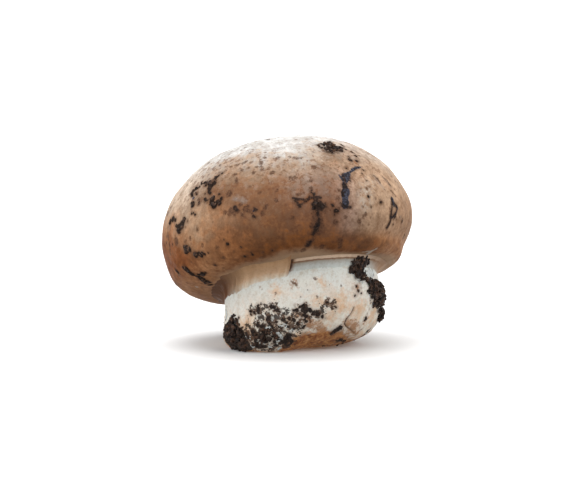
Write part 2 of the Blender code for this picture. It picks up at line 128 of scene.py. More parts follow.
CAP_MARKS = [
    ("dark", [(-14.1, 15.5, 0.16), (-14.7, 15.0, 0.22), (-15.4, 14.4, 0.30), (-16.3, 13.1, 0.50), (-17.0, 12.0, 0.28)]),
    ("dark", [(-18.3, 13.5, 0.22), (-17.3, 13.4, 0.30), (-16.3, 13.1, 0.42)]),
    ("dark", [(-17.0, 11.7, 0.15), (-16.5, 11.2, 0.22)]), ("dark", [(-14.8, 11.2, 0.18)]),
    ("dark", [(-16.2, 10.4, 0.26), (-16.4, 9.6, 0.34), (-15.8, 9.1, 0.42), (-14.6, 9.7, 0.40), (-14.2, 10.4, 0.24)]),
    ("dark", [(-17.5, 10.2, 0.22), (-17.1, 9.9, 0.16)]),
    ("dark", [(-18.8, 12.7, 0.24), (-19.3, 12.4, 0.18), (-19.9, 12.0, 0.28), (-20.3, 11.2, 0.30), (-20.0, 10.8, 0.15)]),
    ("dark", [(-19.1, 11.3, 0.26)]), ("blue", [(-19.9, 10.4, 0.30)]), ("brown", [(-18.8, 10.1, 0.37)]),
    ("dark", [(-18.7, 9.4, 0.25)]), ("dark", [(-19.8, 9.0, 0.42), (-20.2, 9.2, 0.25)]),
    ("dark", [(-20.3, 7.5, 0.24), (-19.9, 7.4, 0.16), (-19.4, 6.9, 0.22)]),
    ("dark", [(-24.6, 5.7, 0.48), (-23.9, 6.4, 0.42), (-23.1, 6.0, 0.40)]),
    ("blue", [(-23.9, 6.5, 0.25), (-23.4, 6.2, 0.20)]),
    ("dark", [(-21.7, 6.1, 0.36), (-22.2, 5.3, 0.38), (-22.9, 4.6, 0.60), (-22.5, 3.7, 0.36), (-23.4, 5.1, 0.26)]),
    ("dark", [(-21.2, 0.5, 0.58), (-21.1, -0.1, 0.58), (-21.6, 0.7, 0.36)]),
    ("dark", [(-21.6, 0.3, 0.46), (-21.1, 0.2, 0.50), (-20.6, 0.1, 0.44)]),
    ("dark", [(-19.4, -0.9, 0.42), (-18.9, -1.1, 0.36), (-18.5, -0.5, 0.34), (-17.7, -0.7, 0.26)]),
    ("dark", [(-23.2, -4.1, 0.40), (-23.0, -4.4, 0.34)]),
    ("dark", [(-21.9, -3.7, 0.40), (-21.2, -4.1, 0.52), (-20.4, -4.6, 0.42)]),
    ("dark", [(-19.2, -5.2, 0.34), (-18.8, -4.9, 0.44), (-18.1, -4.7, 0.42), (-17.4, -4.6, 0.28)]),
    ("dark", [(-18.9, -5.5, 0.42), (-17.9, -6.0, 0.58), (-17.1, -6.5, 0.64), (-16.6, -7.0, 0.44)]),
    # the bright spot low on the left is a painted highlight
    ("bright", [(-19.2, -7.4, 0.40)]), ("brown", [(-25.1, 7.3, 0.57)]), ("brown", [(-24.5, 8.5, 0.47)]),
    ("grey", [(-24.7, 4.4, 0.50)]), ("brown", [(-25.2, 3.0, 0.52)]),
    ("brown", [(-24.9, 2.7, 0.37), (-24.7, 1.0, 0.32), (-24.5, -0.8, 0.37)]), ("brown", [(-23.3, 1.7, 0.87)]),
    ("brown", [(-20.5, 2.3, 0.42)]), ("brown", [(-19.1, 4.2, 0.37)]), ("brown", [(-18.1, 0.9, 0.37)]),
    ("brown", [(-15.2, 0.4, 0.42)]), ("dark", [(-13.2, 1.8, 0.28), (-13.0, 1.3, 0.22)]),
    ("dark", [(-10.4, 0.6, 0.16), (-10.4, 0.2, 0.13)]), ("dark", [(-9.6, -1.3, 0.18)]),
    ("dark", [(-7.8, -0.9, 0.17)]), ("brown", [(-5.9, -0.4, 0.37)]), ("dark", [(-4.1, -0.2, 0.14)]),
    ("dark", [(-15.4, -3.1, 0.20)]), ("brown", [(-13.9, -1.6, 0.42)]),
    ("smear", [(-11.6, 8.5, 0.36), (-11.2, 8.0, 0.28)]), ("brown", [(-10.5, 9.1, 0.42)]),
    ("smear", [(-7.7, 8.3, 0.26), (-7.4, 8.0, 0.36)]), ("blue", [(-7.9, 7.8, 0.20)]),
    ("smear", [(-7.8, 6.7, 0.24), (-7.5, 6.5, 0.16)]),
    ("brown", [(-9.0, 8.8, 0.47), (-9.8, 8.1, 0.47), (-8.5, 7.6, 0.42)]),
    ("brown", [(-12.4, 8.2, 0.42), (-12.8, 7.2, 0.47), (-10.8, 7.7, 0.42)]),
    ("brown", [(-6.2, 7.2, 0.37), (-5.4, 8.8, 0.37)]), ("brown", [(-11.7, 7.1, 0.42)]),
    ("brown", [(-10.1, 6.9, 0.37)]), ("brown", [(-13.6, 7.5, 0.52)]),
    ("grey", [(-11.9, 10.3, 0.30), (-10.6, 10.0, 0.42), (-9.6, 9.6, 0.30)]), ("brown", [(-12.8, 11.3, 0.77)]),
    ("brown", [(-6.4, 18.0, 0.32), (-6.4, 17.2, 0.42), (-6.2, 16.2, 0.32)]), ("brown", [(-4.9, 16.4, 0.42)]),
    ("brown", [(-5.7, 18.4, 0.37)]), ("brown", [(-4.1, 15.5, 0.52)]), ("brown", [(-7.9, 15.5, 0.47)]),
    ("brown", [(-11.2, 14.4, 0.27), (-11.2, 13.4, 0.32)]), ("brown", [(-11.5, 15.1, 0.37)]),
    ("brown", [(-6.6, 11.6, 0.42)]), ("brown", [(-3.3, 12.0, 0.37)]), ("brown", [(-3.4, 10.0, 0.42)]),
    ("brown", [(-12.5, 16.6, 0.30)]), ("brown", [(-11.5, 17.0, 0.26), (-10.9, 17.2, 0.34)]),
    ("brown", [(-9.8, 17.4, 0.34), (-9.4, 17.7, 0.24)]), ("brown", [(-8.4, 17.5, 0.40)]),
    ("brown", [(-7.2, 16.6, 0.36)]), ("brown", [(-8.8, 16.4, 0.30)]), ("brown", [(-13.4, 15.9, 0.26)]),
    ("brown", [(-10.2, 16.0, 0.26)]), ("brown", [(-15.8, 16.1, 0.28)]), ("brown", [(-14.7, 16.9, 0.33)]),
    ("brown", [(-13.4, 17.5, 0.28)]), ("brown", [(-16.9, 17.4, 0.37)]), ("brown", [(-12.8, 20.1, 0.26)]),
    ("brown", [(-11.7, 20.6, 0.30)]), ("brown", [(-10.5, 20.9, 0.24)]), ("brown", [(-21.2, 13.1, 0.30)]),
    ("brown", [(-20.2, 13.9, 0.36)]), ("brown", [(-17.7, 16.1, 0.37)]), ("grey", [(-13.8, 19.1, 0.40)]),
    ("dark", [(-5.3, 22.0, 0.17), (-4.9, 21.9, 0.14)]), ("brown", [(-9.6, 20.5, 0.32)]),
    ("brown", [(-8.0, 20.1, 0.32)]), ("brown", [(-3.0, 18.4, 0.37)]), ("grey", [(-2.6, 21.1, 0.30)]),
    ("dark", [(5.3, 20.9, 0.26), (6.0, 21.3, 0.18), (6.9, 21.1, 0.42), (7.5, 21.6, 0.20)]),
    ("dark", [(5.6, 20.5, 0.20), (6.4, 20.2, 0.20), (7.3, 20.6, 0.30)]), ("bright", [(6.5, 20.8, 0.20)]),
    ("dark", [(7.9, 20.3, 0.30), (8.7, 20.5, 0.62), (9.3, 20.1, 0.50), (9.7, 19.8, 0.34)]),
    ("dark", [(9.8, 21.1, 0.20), (9.8, 20.5, 0.24)]), ("brown", [(8.1, 19.6, 0.47)]), ("brown", [(6.5, 19.8, 0.52)]),
    ("brown", [(8.8, 19.4, 0.47)]), ("grey", [(11.0, 18.8, 0.30)]), ("dark", [(12.3, 18.9, 0.34)]),
    ("dark", [(11.5, 17.8, 0.36)]), ("dark", [(12.9, 17.7, 0.34)]), ("dark", [(11.7, 19.6, 0.26)]),
    ("dark", [(10.8, 19.9, 0.24)]), ("brown", [(13.3, 18.8, 0.32)]), ("dark", [(11.1, 18.6, 0.22)]),
    ("grey", [(12.0, 18.3, 0.50)]), ("rust", [(12.6, 17.2, 0.30)]), ("rust", [(12.2, 17.6, 0.25)]),
    ("grey", [(12.2, 20.0, 0.30)]),
    ("blue", [(13.5, 16.5, 0.20), (12.8, 16.4, 0.34), (12.0, 16.1, 0.30), (11.4, 15.5, 0.30)]),
    ("dark", [(14.1, 15.9, 0.15), (13.7, 16.1, 0.14)]), ("dark", [(10.6, 16.2, 0.17)]),
    ("dark", [(12.8, 16.4, 0.16), (12.2, 16.2, 0.14)]),
    ("blue", [(11.1, 15.2, 0.40), (10.6, 14.7, 0.78), (10.5, 13.9, 0.62), (10.3, 13.2, 0.42)]),
    ("blue", [(9.2, 15.0, 0.16), (9.5, 14.5, 0.20), (9.9, 14.0, 0.28)]),
    ("smear", [(10.4, 13.3, 0.36), (10.3, 12.8, 0.50), (10.6, 12.4, 0.30)]),
    ("smear", [(10.0, 15.1, 0.20), (10.2, 14.4, 0.26), (10.3, 13.7, 0.24)]),
    ("smear", [(11.2, 14.8, 0.16), (11.4, 13.7, 0.20)]),
    ("blue", [(10.5, 12.2, 0.58), (10.6, 11.7, 0.70), (10.4, 11.0, 0.68), (10.4, 10.4, 0.62), (10.5, 9.6, 0.66), (10.4, 8.9, 0.68)]),
    ("smear", [(9.5, 9.3, 0.20), (10.0, 8.8, 0.26), (10.6, 8.5, 0.26), (11.4, 8.6, 0.26)]),
    ("dark", [(9.8, 11.5, 0.20), (9.8, 11.0, 0.20)]), ("brown", [(9.1, 10.4, 0.52)]), ("brown", [(9.2, 12.0, 0.42)]),
    ("dark", [(15.2, 10.6, 0.20)]), ("dark", [(17.4, 9.5, 0.22)]), ("brown", [(14.7, 12.4, 0.42)]),
    ("brown", [(14.7, 13.9, 0.42)]), ("brown", [(16.3, 14.8, 0.30), (16.9, 14.2, 0.40), (17.4, 13.6, 0.30)]),
    ("grey", [(16.3, 14.8, 0.44), (17.3, 13.5, 0.46), (18.1, 12.3, 0.36)]),
    ("brown", [(18.0, 14.6, 0.24), (18.7, 14.0, 0.30), (19.5, 12.9, 0.30)]),
    ("grey", [(18.2, 14.5, 0.26), (19.0, 13.6, 0.34), (19.6, 12.6, 0.26)]), ("brown", [(18.3, 12.0, 0.27)]),
    ("brown", [(19.6, 11.8, 0.29), (20.2, 11.3, 0.21), (20.5, 10.8, 0.25)]),
    ("dark", [(17.5, 9.6, 0.24), (17.8, 9.5, 0.16)]),
    ("blue", [(19.8, 10.1, 0.46), (20.0, 9.4, 0.48), (20.1, 8.8, 0.30)]),
    ("smear", [(19.7, 10.2, 0.30), (19.8, 9.1, 0.34), (19.7, 8.2, 0.28), (19.6, 7.5, 0.30), (19.5, 6.5, 0.38)]),
    ("blue", [(20.5, 8.8, 0.20), (20.8, 8.3, 0.24), (20.6, 7.4, 0.26), (20.1, 6.7, 0.28), (19.6, 6.4, 0.24)]),
    ("smear", [(20.2, 9.3, 0.28), (20.7, 8.5, 0.26), (20.7, 7.8, 0.26), (20.4, 7.0, 0.30), (19.7, 6.5, 0.32)]),
    ("smear", [(19.5, 6.1, 0.28), (19.3, 5.4, 0.30), (18.8, 4.6, 0.42)]), ("blue", [(19.1, 5.0, 0.18)]),
    ("dark", [(21.8, 5.8, 0.28)]), ("grey", [(21.5, 6.6, 0.30)]), ("dark", [(22.2, 2.9, 0.25)]),
    ("brown", [(21.8, 6.1, 0.37)]), ("brown", [(14.6, 7.1, 0.50)]), ("brown", [(14.1, 6.6, 0.30)]),
    ("brown", [(15.7, 8.7, 0.37)]), ("brown", [(13.3, 5.7, 0.52)]), ("brown", [(10.4, 6.5, 0.37)]),
    ("brown", [(8.6, 5.5, 0.58)]), ("brown", [(7.9, 8.9, 0.46)]), ("dark", [(8.1, 8.7, 0.20)]),
    ("brown", [(8.5, 7.6, 0.56), (9.1, 8.3, 0.34)]), ("dark", [(8.8, 7.7, 0.26), (9.1, 8.1, 0.14)]),
    ("brown", [(8.3, 8.4, 0.30)]), ("brown", [(7.3, 8.1, 0.30)]), ("brown", [(6.6, 7.7, 0.42)]),
    ("smear", [(0.1, 10.4, 0.24), (0.7, 10.2, 0.26), (1.6, 10.1, 0.20), (2.6, 10.1, 0.20), (3.4, 10.4, 0.24), (4.2, 10.5, 0.30)]),
    ("smear", [(0.4, 10.0, 0.26), (0.9, 9.3, 0.28), (1.3, 8.8, 0.32)]),
    ("smear", [(1.5, 9.0, 0.22), (2.1, 9.5, 0.20), (2.9, 9.9, 0.18)]),
    ("rust", [(1.2, 9.6, 0.45), (2.1, 9.7, 0.50), (3.0, 10.2, 0.50), (3.8, 10.2, 0.45)]),
    ("brown", [(0.9, 11.1, 0.27), (2.1, 11.3, 0.23)]), ("smear", [(6.5, 9.3, 0.16), (6.6, 8.6, 0.22)]),
    ("smear", [(3.3, 10.7, 0.16), (3.8, 10.5, 0.26), (4.4, 10.4, 0.36), (5.4, 10.5, 0.28)]),
    ("dark", [(3.6, 11.9, 0.13), (3.9, 11.4, 0.16), (4.3, 10.9, 0.20)]),
    ("smear", [(4.6, 10.3, 0.42), (4.7, 9.6, 0.72), (5.1, 8.9, 0.88), (5.5, 8.5, 0.62), (6.0, 8.6, 0.36)]),
    ("smear", [(3.9, 9.2, 0.30), (4.4, 8.9, 0.42)]),
    ("dark", [(4.7, 9.9, 0.30), (5.0, 9.1, 0.40), (5.5, 8.7, 0.36), (6.1, 9.1, 0.20)]),
    ("smear", [(5.1, 8.2, 0.50), (5.0, 7.3, 0.36), (5.1, 6.6, 0.24), (5.2, 5.9, 0.26)]),
    ("dark", [(4.0, 9.1, 0.20), (4.3, 8.4, 0.24)]),
    ("smear", [(5.2, 5.6, 0.28), (4.8, 4.7, 0.60), (4.4, 3.9, 0.46), (4.0, 3.2, 0.26)]),
    ("dark", [(4.9, 5.1, 0.20), (4.6, 4.2, 0.24), (4.2, 3.7, 0.18)]), ("blue", [(5.1, 4.9, 0.30)]),
    ("brown", [(4.1, 7.2, 0.47), (4.5, 6.2, 0.47), (3.8, 4.8, 0.57)]),
    ("brown", [(5.5, 7.2, 0.37), (5.8, 4.8, 0.42), (5.0, 3.4, 0.37)]),
    ("brown", [(4.4, 2.5, 0.42), (3.7, 1.8, 0.57), (3.0, 1.1, 0.62)]),
    ("smear", [(3.5, 1.7, 0.32), (3.2, 1.3, 0.42), (2.8, 0.9, 0.34)]), ("brown", [(2.0, 0.0, 0.57)]),
    ("brown", [(3.6, 12.4, 0.42)]), ("brown", [(3.6, 13.9, 0.52)]),
    ("brown", [(-0.5, 14.4, 0.47), (0.3, 14.5, 0.57)]), ("brown", [(0.0, 6.4, 0.47)]),
    ("brown", [(9.4, 1.9, 0.47), (9.4, 0.7, 0.47)]), ("brown", [(6.0, 0.7, 0.57)]), ("brown", [(4.2, 16.6, 0.52)]),
    ("brown", [(0.3, 18.4, 0.32)]), ("brown", [(0.7, 18.3, 0.32), (1.8, 18.4, 0.27)]), ("brown", [(4.0, 19.7, 0.37)]),
    ("brown", [(-0.6, 18.6, 0.32)]), ("scuff", [(14.7, 12.0, 1.70), (14.6, 10.8, 1.90), (14.4, 9.2, 1.50)]),
    ("scuff", [(15.8, 13.6, 1.00), (13.8, 12.8, 0.80)]), ("bright", [(14.8, 11.7, 0.20)]),
    ("bright", [(14.5, -1.1, 0.26), (15.2, -0.6, 0.40), (16.0, -0.1, 0.34), (16.7, 0.3, 0.20)]),
    ("bright", [(13.9, -0.5, 0.16), (15.1, -0.3, 0.20)]), ("scuff", [(1.8, 20.4, 0.90), (5.8, 18.4, 0.80)]),
    ("scuff", [(-11.2, 10.5, 0.12), (-9.4, 10.0, 0.08)]),
]
STEM_MARKS = [
    ("rub", [(-8.2, -17.2, 2.60), (-6.2, -16.4, 3.40), (-4.2, -15.6, 3.60), (-1.8, -15.2, 3.40), (0.6, -14.0, 2.60), (2.0, -12.4, 1.60)]),
    ("rub", [(-7.0, -19.0, 2.20), (-4.2, -18.6, 3.20), (-1.6, -18.2, 3.00), (-0.2, -17.2, 2.00)]),
    ("rub", [(-8.6, -12.2, 1.00), (-7.0, -12.2, 1.20), (-4.2, -11.6, 1.20), (-2.6, -12.4, 1.40)]),
    ("rub", [(5.0, -13.0, 1.40), (6.6, -10.4, 1.00), (8.0, -11.2, 1.00)]),
    ("dark", [(-9.2, -16.6, 0.30), (-8.9, -17.6, 0.34), (-9.3, -18.6, 0.40), (-8.4, -19.6, 0.34)]),
    ("fleck", [(-9.4, -16.0, 0.20), (-8.8, -16.8, 0.26), (-8.2, -17.6, 0.24)]),
    ("solid", [(-13.4, -15.2, 0.50), (-13.5, -16.8, 0.70), (-13.0, -18.2, 1.00), (-12.0, -19.4, 1.10), (-10.4, -19.9, 1.00), (-9.0, -19.8, 0.90)]),
    ("crack", [(12.1, -11.5, 0.10), (12.0, -12.1, 0.13), (11.6, -12.8, 0.12), (11.0, -13.5, 0.14), (10.6, -14.0, 0.16), (10.3, -14.8, 0.15), (10.7, -15.4, 0.13), (11.3, -15.8, 0.14), (12.0, -16.5, 0.13), (12.7, -17.0, 0.08)]),
    ("dark", [(8.0, -16.7, 0.30), (8.5, -16.2, 0.40), (9.1, -15.9, 0.42), (9.6, -15.5, 0.26)]),
    ("dark", [(8.7, -18.1, 0.26), (9.3, -18.0, 0.36), (9.9, -18.1, 0.24)]),
    ("rust", [(10.9, -14.6, 0.70), (11.6, -15.0, 1.10), (12.2, -15.8, 1.20), (11.4, -16.2, 0.90), (12.8, -16.6, 0.80)]),
    ("rust", [(10.0, -16.2, 0.70), (8.8, -17.0, 0.80), (7.4, -17.4, 0.70)]),
    ("rust", [(3.4, -15.2, 0.90), (4.6, -14.8, 0.80), (5.8, -16.0, 0.80)]),
    ("fleck", [(6.7, -9.4, 0.24), (7.0, -9.7, 0.16)]), ("dark", [(6.7, -10.3, 0.20), (7.0, -10.5, 0.20)]),
    ("fleck", [(6.4, -9.9, 0.20), (6.9, -10.7, 0.28)]), ("fleck", [(7.5, -10.7, 0.26), (7.9, -10.4, 0.16)]),
    ("dark", [(8.3, -11.1, 0.18), (8.5, -11.4, 0.20)]), ("fleck", [(8.1, -10.9, 0.24), (8.6, -11.5, 0.30)]),
    ("fleck", [(7.3, -9.8, 0.18)]), ("fleck", [(4.9, -9.3, 0.30)]),
    ("fleck", [(-0.2, -6.4, 0.22), (0.2, -6.7, 0.34), (0.7, -7.0, 0.22)]), ("rust", [(0.1, -6.6, 0.50)]),
    ("fleck", [(4.2, -5.6, 0.18), (4.5, -5.8, 0.24)]), ("peach", [(5.4, -6.0, 0.30), (6.3, -7.1, 0.35)]),
    ("fleck", [(-3.5, -8.7, 0.20)]), ("fleck", [(-6.2, -7.8, 0.14)]), ("fleck", [(1.5, -9.4, 0.16)]),
    ("fleck", [(9.6, -7.2, 0.16)]), ("fleck", [(3.0, -8.0, 0.14)]),
    ("dark", [(2.1, -10.8, 0.42), (2.3, -11.6, 0.52), (2.5, -12.2, 0.38)]),
    ("dark", [(1.9, -11.1, 0.20), (1.0, -11.7, 0.24), (0.1, -12.3, 0.28)]),
    ("dark", [(3.0, -11.9, 0.22), (4.0, -12.4, 0.34), (5.1, -12.8, 0.34), (6.0, -13.3, 0.26), (6.2, -13.6, 0.14)]),
    ("dark", [(2.3, -13.0, 0.26), (2.4, -13.7, 0.24), (2.6, -14.4, 0.26)]),
    ("dark", [(2.4, -15.3, 0.28), (1.9, -16.1, 0.24)]), ("fleck", [(1.4, -14.0, 0.30), (1.0, -15.0, 0.34)]),
    ("fleck", [(3.2, -13.8, 0.26), (3.6, -14.4, 0.20)]),
    ("rust", [(1.3, -13.0, 0.55), (3.0, -13.7, 0.60), (3.9, -14.5, 0.50)]), ("dark", [(-8.6, -12.1, 0.30)]),
    ("dark", [(-6.8, -11.3, 0.20), (-7.0, -11.8, 0.30), (-7.2, -12.6, 0.22)]), ("dark", [(-7.6, -12.4, 0.20)]),
    ("dark", [(-8.7, -12.6, 0.14)]), ("dark", [(-4.6, -11.2, 0.30), (-4.1, -11.5, 0.34)]),
    ("dark", [(-3.6, -12.1, 0.26), (-2.8, -12.4, 0.20)]), ("grey", [(-2.5, -12.1, 0.30)]),
    ("grey", [(-1.9, -12.7, 0.30)]), ("dark", [(-11.0, -13.4, 0.17)]), ("dark", [(-10.9, -13.7, 0.14)]),
    ("dark", [(-4.9, -13.5, 0.28), (-5.0, -14.1, 0.34), (-4.6, -15.0, 0.34), (-4.1, -15.5, 0.28)]),
    ("dark", [(-7.0, -14.5, 0.22), (-6.7, -15.1, 0.26), (-5.9, -15.7, 0.34), (-6.0, -16.3, 0.30)]),
    ("dark", [(-3.2, -14.3, 0.24), (-3.6, -14.7, 0.20)]), ("dark", [(-1.6, -13.8, 0.34), (-2.0, -14.2, 0.26)]),
    ("dark", [(-0.4, -13.5, 0.26), (0.4, -13.8, 0.30)]), ("dark", [(-1.0, -14.7, 0.22), (-1.3, -15.4, 0.28)]),
    ("dark", [(0.6, -15.0, 0.34), (0.0, -15.6, 0.26)]), ("dark", [(-2.6, -15.2, 0.20), (-2.4, -15.9, 0.26)]),
    ("dark", [(-8.2, -16.3, 0.34), (-7.5, -16.7, 0.30), (-6.8, -17.4, 0.40)]),
    ("dark", [(-5.4, -16.4, 0.30), (-5.1, -17.1, 0.26)]), ("dark", [(-3.6, -16.5, 0.34), (-3.9, -17.4, 0.26)]),
    ("dark", [(-1.3, -17.2, 0.60), (-0.9, -18.2, 0.62), (-0.9, -18.9, 0.50), (-1.8, -18.5, 0.45)]),
    ("dark", [(-2.8, -17.7, 0.30), (-2.3, -18.5, 0.28)]), ("dark", [(-6.2, -18.3, 0.30), (-5.2, -18.5, 0.26)]),
    ("dark", [(-4.0, -18.7, 0.28), (-3.2, -19.2, 0.20)]), ("dark", [(-7.8, -18.2, 0.40), (-7.3, -19.2, 0.40)]),
    ("white", [(-1.6, -15.0, 0.45)]), ("white", [(-4.2, -13.7, 0.30)]), ("white", [(-0.5, -16.3, 0.35)]),
    ("white", [(-6.7, -18.2, 0.40)]), ("white", [(-2.2, -17.3, 0.40)]), ("white", [(-8.0, -19.1, 0.30)]),
    ("white", [(-9.0, -17.4, 0.30)]), ("white", [(-2.6, -19.6, 0.35)]),
    ("white", [(-3.4, -16.8, 0.34), (-2.7, -17.0, 0.30)]), ("white", [(-5.9, -18.6, 0.30)]),
    ("white", [(-4.5, -19.1, 0.30)]), ("dark", [(-3.8, -18.4, 0.26), (-3.3, -18.0, 0.20)]),
    ("dark", [(-5.3, -17.8, 0.28), (-4.6, -18.2, 0.20)]), ("dark", [(-6.1, -19.4, 0.34), (-5.4, -19.1, 0.30)]),
    ("dark", [(-4.7, -19.7, 0.30)]), ("dark", [(-6.9, -18.6, 0.30), (-6.6, -19.5, 0.30)]),
    ("white", [(-3.2, -18.3, 0.30)]), ("white", [(-5.0, -15.7, 0.26)]),
    ("solid", [(-12.8, -16.0, 1.20), (-12.4, -17.2, 1.60), (-11.4, -18.2, 2.00), (-10.0, -18.8, 1.60), (-10.6, -16.8, 1.40), (-12.0, -15.4, 0.90)]),
    ("dark", [(13.1, -7.8, 0.34), (12.7, -7.2, 0.20)]), ("dark", [(12.5, -9.0, 0.16)]),
    ("rust", [(12.9, -7.6, 0.50)]), ("dark", [(13.6, -8.5, 0.16)]),
    ("dark", [(14.3, -14.0, 0.30), (14.8, -13.7, 0.34)]), ("dark", [(14.5, -13.4, 0.20)]),
    ("rust", [(14.6, -14.0, 0.62)]), ("peach", [(13.5, -11.3, 1.00), (13.7, -10.6, 0.50)]),
    ("peach", [(-9.4, -14.8, 1.10), (-10.0, -16.0, 0.80)]), ("peach", [(10.0, -9.2, 1.10), (9.4, -10.2, 0.90)]),
    ("peach", [(10.0, -11.4, 0.80)]), ("peach", [(5.0, -10.2, 0.90), (5.8, -10.8, 0.70)]),
    ("peach", [(15.4, -13.6, 1.00), (16.2, -12.4, 0.90)]), ("peach", [(-3.5, -8.0, 0.80)]),
    ("peach", [(7.6, -13.2, 0.80)]), ("dark", [(14.3, -4.9, 0.20)]),
]

# ---------------------------------------------------------------- helpers
def hash_noise(ix, iy, iz, seed):
    h = (ix * 374761393 + iy * 668265263 + iz * 2147483647 + seed * 1274126177) & 0xFFFFFFFF
    h = ((h ^ (h >> 13)) * 1103515245) & 0xFFFFFFFF
    h = ((h ^ (h >> 16)) * 1540483477) & 0xFFFFFFFF
    h = h ^ (h >> 15)
    return (h & 0xFFFFFF) / float(0xFFFFFF) * 2.0 - 1.0


def noise(p, size, seed=0):
    """Smooth noise from -1 to 1 at points p, with features of the given size."""
    q = np.asarray(p, float) / size + 100.0
    i = np.floor(q).astype(np.int64)
    f = q - i
    u = f * f * f * (f * (f * 6.0 - 15.0) + 10.0)
    total = 0.0
    for dx in (0, 1):
        for dy in (0, 1):
            for dz in (0, 1):
                w = ((u[..., 0] if dx else 1.0 - u[..., 0]) * (u[..., 1] if dy else 1.0 - u[..., 1])
                     * (u[..., 2] if dz else 1.0 - u[..., 2]))
                total = total + w * hash_noise(i[..., 0] + dx, i[..., 1] + dy, i[..., 2] + dz, seed)
    return total


def fractal(p, size, octaves=3, seed=0, gain=0.5):
    total, weight = 0.0, 1.0
    for k in range(octaves):
        total = total + weight * noise(p, size, seed + 17 * k)
        weight *= gain
        size *= 0.5
    return total


def hermite(x, keys, values, slopes):
    i = np.clip(np.searchsorted(keys, x, side="right") - 1, 0, len(keys) - 2)
    w = keys[i + 1] - keys[i]
    t = np.clip((x - keys[i]) / w, 0.0, 1.0)
    return ((2 * t ** 3 - 3 * t ** 2 + 1) * values[i] + (t ** 3 - 2 * t ** 2 + t) * slopes[i] * w
            + (-2 * t ** 3 + 3 * t ** 2) * values[i + 1] + (t ** 3 - t ** 2) * slopes[i + 1] * w)


def around(table, phi):
    """A smooth value around the axis from {degrees: value}."""
    k = sorted(table)
    keys = np.array([a - 360.0 for a in k] + k + [a + 360.0 for a in k])
    values = np.array([table[a] for a in k] * 3, float)
    return hermite(np.degrees(phi) % 360.0, keys, values, np.gradient(values, keys))


def along(table, x):
    """A smooth value along a line from {position: value}."""
    keys = np.array(sorted(table), float)
    values = np.array([table[k] for k in sorted(table)], float)
    return hermite(x, keys, values, np.gradient(values, keys))


def flowing(points, samples):
    """A smooth curve through the points, read at even steps of length."""
    P = np.asarray(points, float)
    Q = np.vstack([2 * P[0] - P[1], P, 2 * P[-1] - P[-2]])
    t = np.linspace(0.0, 1.0, 24, endpoint=False)[:, None]
    fine = [0.5 * (2 * b + (c - a) * t + (2 * a - 5 * b + 4 * c - d) * t * t + (3 * b - a - 3 * c + d) * t ** 3)
            for a, b, c, d in zip(Q[:-3], Q[1:-2], Q[2:-1], Q[3:])]
    fine = np.vstack(fine + [P[-1:]])
    run = np.concatenate([[0.0], np.cumsum(np.linalg.norm(np.diff(fine, axis=0), axis=1))])
    s = np.linspace(0.0, run[-1], samples)
    return np.stack([np.interp(s, run, fine[:, k]) for k in range(fine.shape[1])], 1), run[-1]


def smoothstep(a, b, x):
    t = np.clip((x - a) / (b - a), 0.0, 1.0)
    return t * t * (3.0 - 2.0 * t)


# ---------------------------------------------------------------- the mushroom's own shape
def lean_matrix():
    a, b = -math.radians(LEAN_LEFT), -math.radians(LEAN_BACK)
    turn_y = np.array([[math.cos(a), 0, math.sin(a)], [0, 1, 0], [-math.sin(a), 0, math.cos(a)]])
    turn_x = np.array([[1, 0, 0], [0, math.cos(b), -math.sin(b)], [0, math.sin(b), math.cos(b)]])
    return turn_x @ turn_y


LEAN = lean_matrix()
PROFILE, PROFILE_LENGTH = flowing(CAP_PROFILE, 400)
PROFILE_T = np.linspace(0.0, 1.0, 400)


def to_world(p):
    return p @ LEAN.T + np.array(CAP_CENTRE)


def to_cap(p):
    return (p - np.array(CAP_CENTRE)) @ LEAN


def cap_skin(phi, t):
    """The cap's outer skin in its own frame; t runs from 0 at the crown to 1 at the inner edge of the rim."""
    phi, t = np.broadcast_arrays(np.asarray(phi, float), np.asarray(t, float))
    rho = np.interp(t, PROFILE_T, PROFILE[:, 0])
    h = np.interp(t, PROFILE_T, PROFILE[:, 1])
    c, s = np.cos(phi), np.sin(phi)
    rho = rho + smoothstep(0.0, 9.0, rho) * (np.maximum(-c, 0) ** 1.3 * along(CAP_LEFT, h)
                                             + np.maximum(c, 0) ** 1.3 * along(CAP_RIGHT, h))
    low = np.clip((-2.0 - h) / 10.0, 0.0, 1.0) ** 1.5
    h = h - low * around(RIM_DROP, phi)
    rho = rho - smoothstep(0.86, 1.0, t) * around(RIM_ROLL, phi)
    p = np.stack([rho * c, rho * s, h], -1)
    out = p + np.array([0.0, 0.0, 6.0])
    out = out / np.linalg.norm(out, axis=-1, keepdims=True)
    return p + out * (CAP_WAVE * fractal(p, CAP_WAVE_SIZE, 2, 3))[..., None]


def neck_ring(phi, height, extra=0.0):
    """A ring around the neck in the cap's frame."""
    r = around(NECK_RADIUS, phi) + extra
    return np.stack([NECK_CENTRE[0] + r * np.cos(phi), NECK_CENTRE[1] + r * np.sin(phi), np.full_like(r, 1.0) * height], -1)


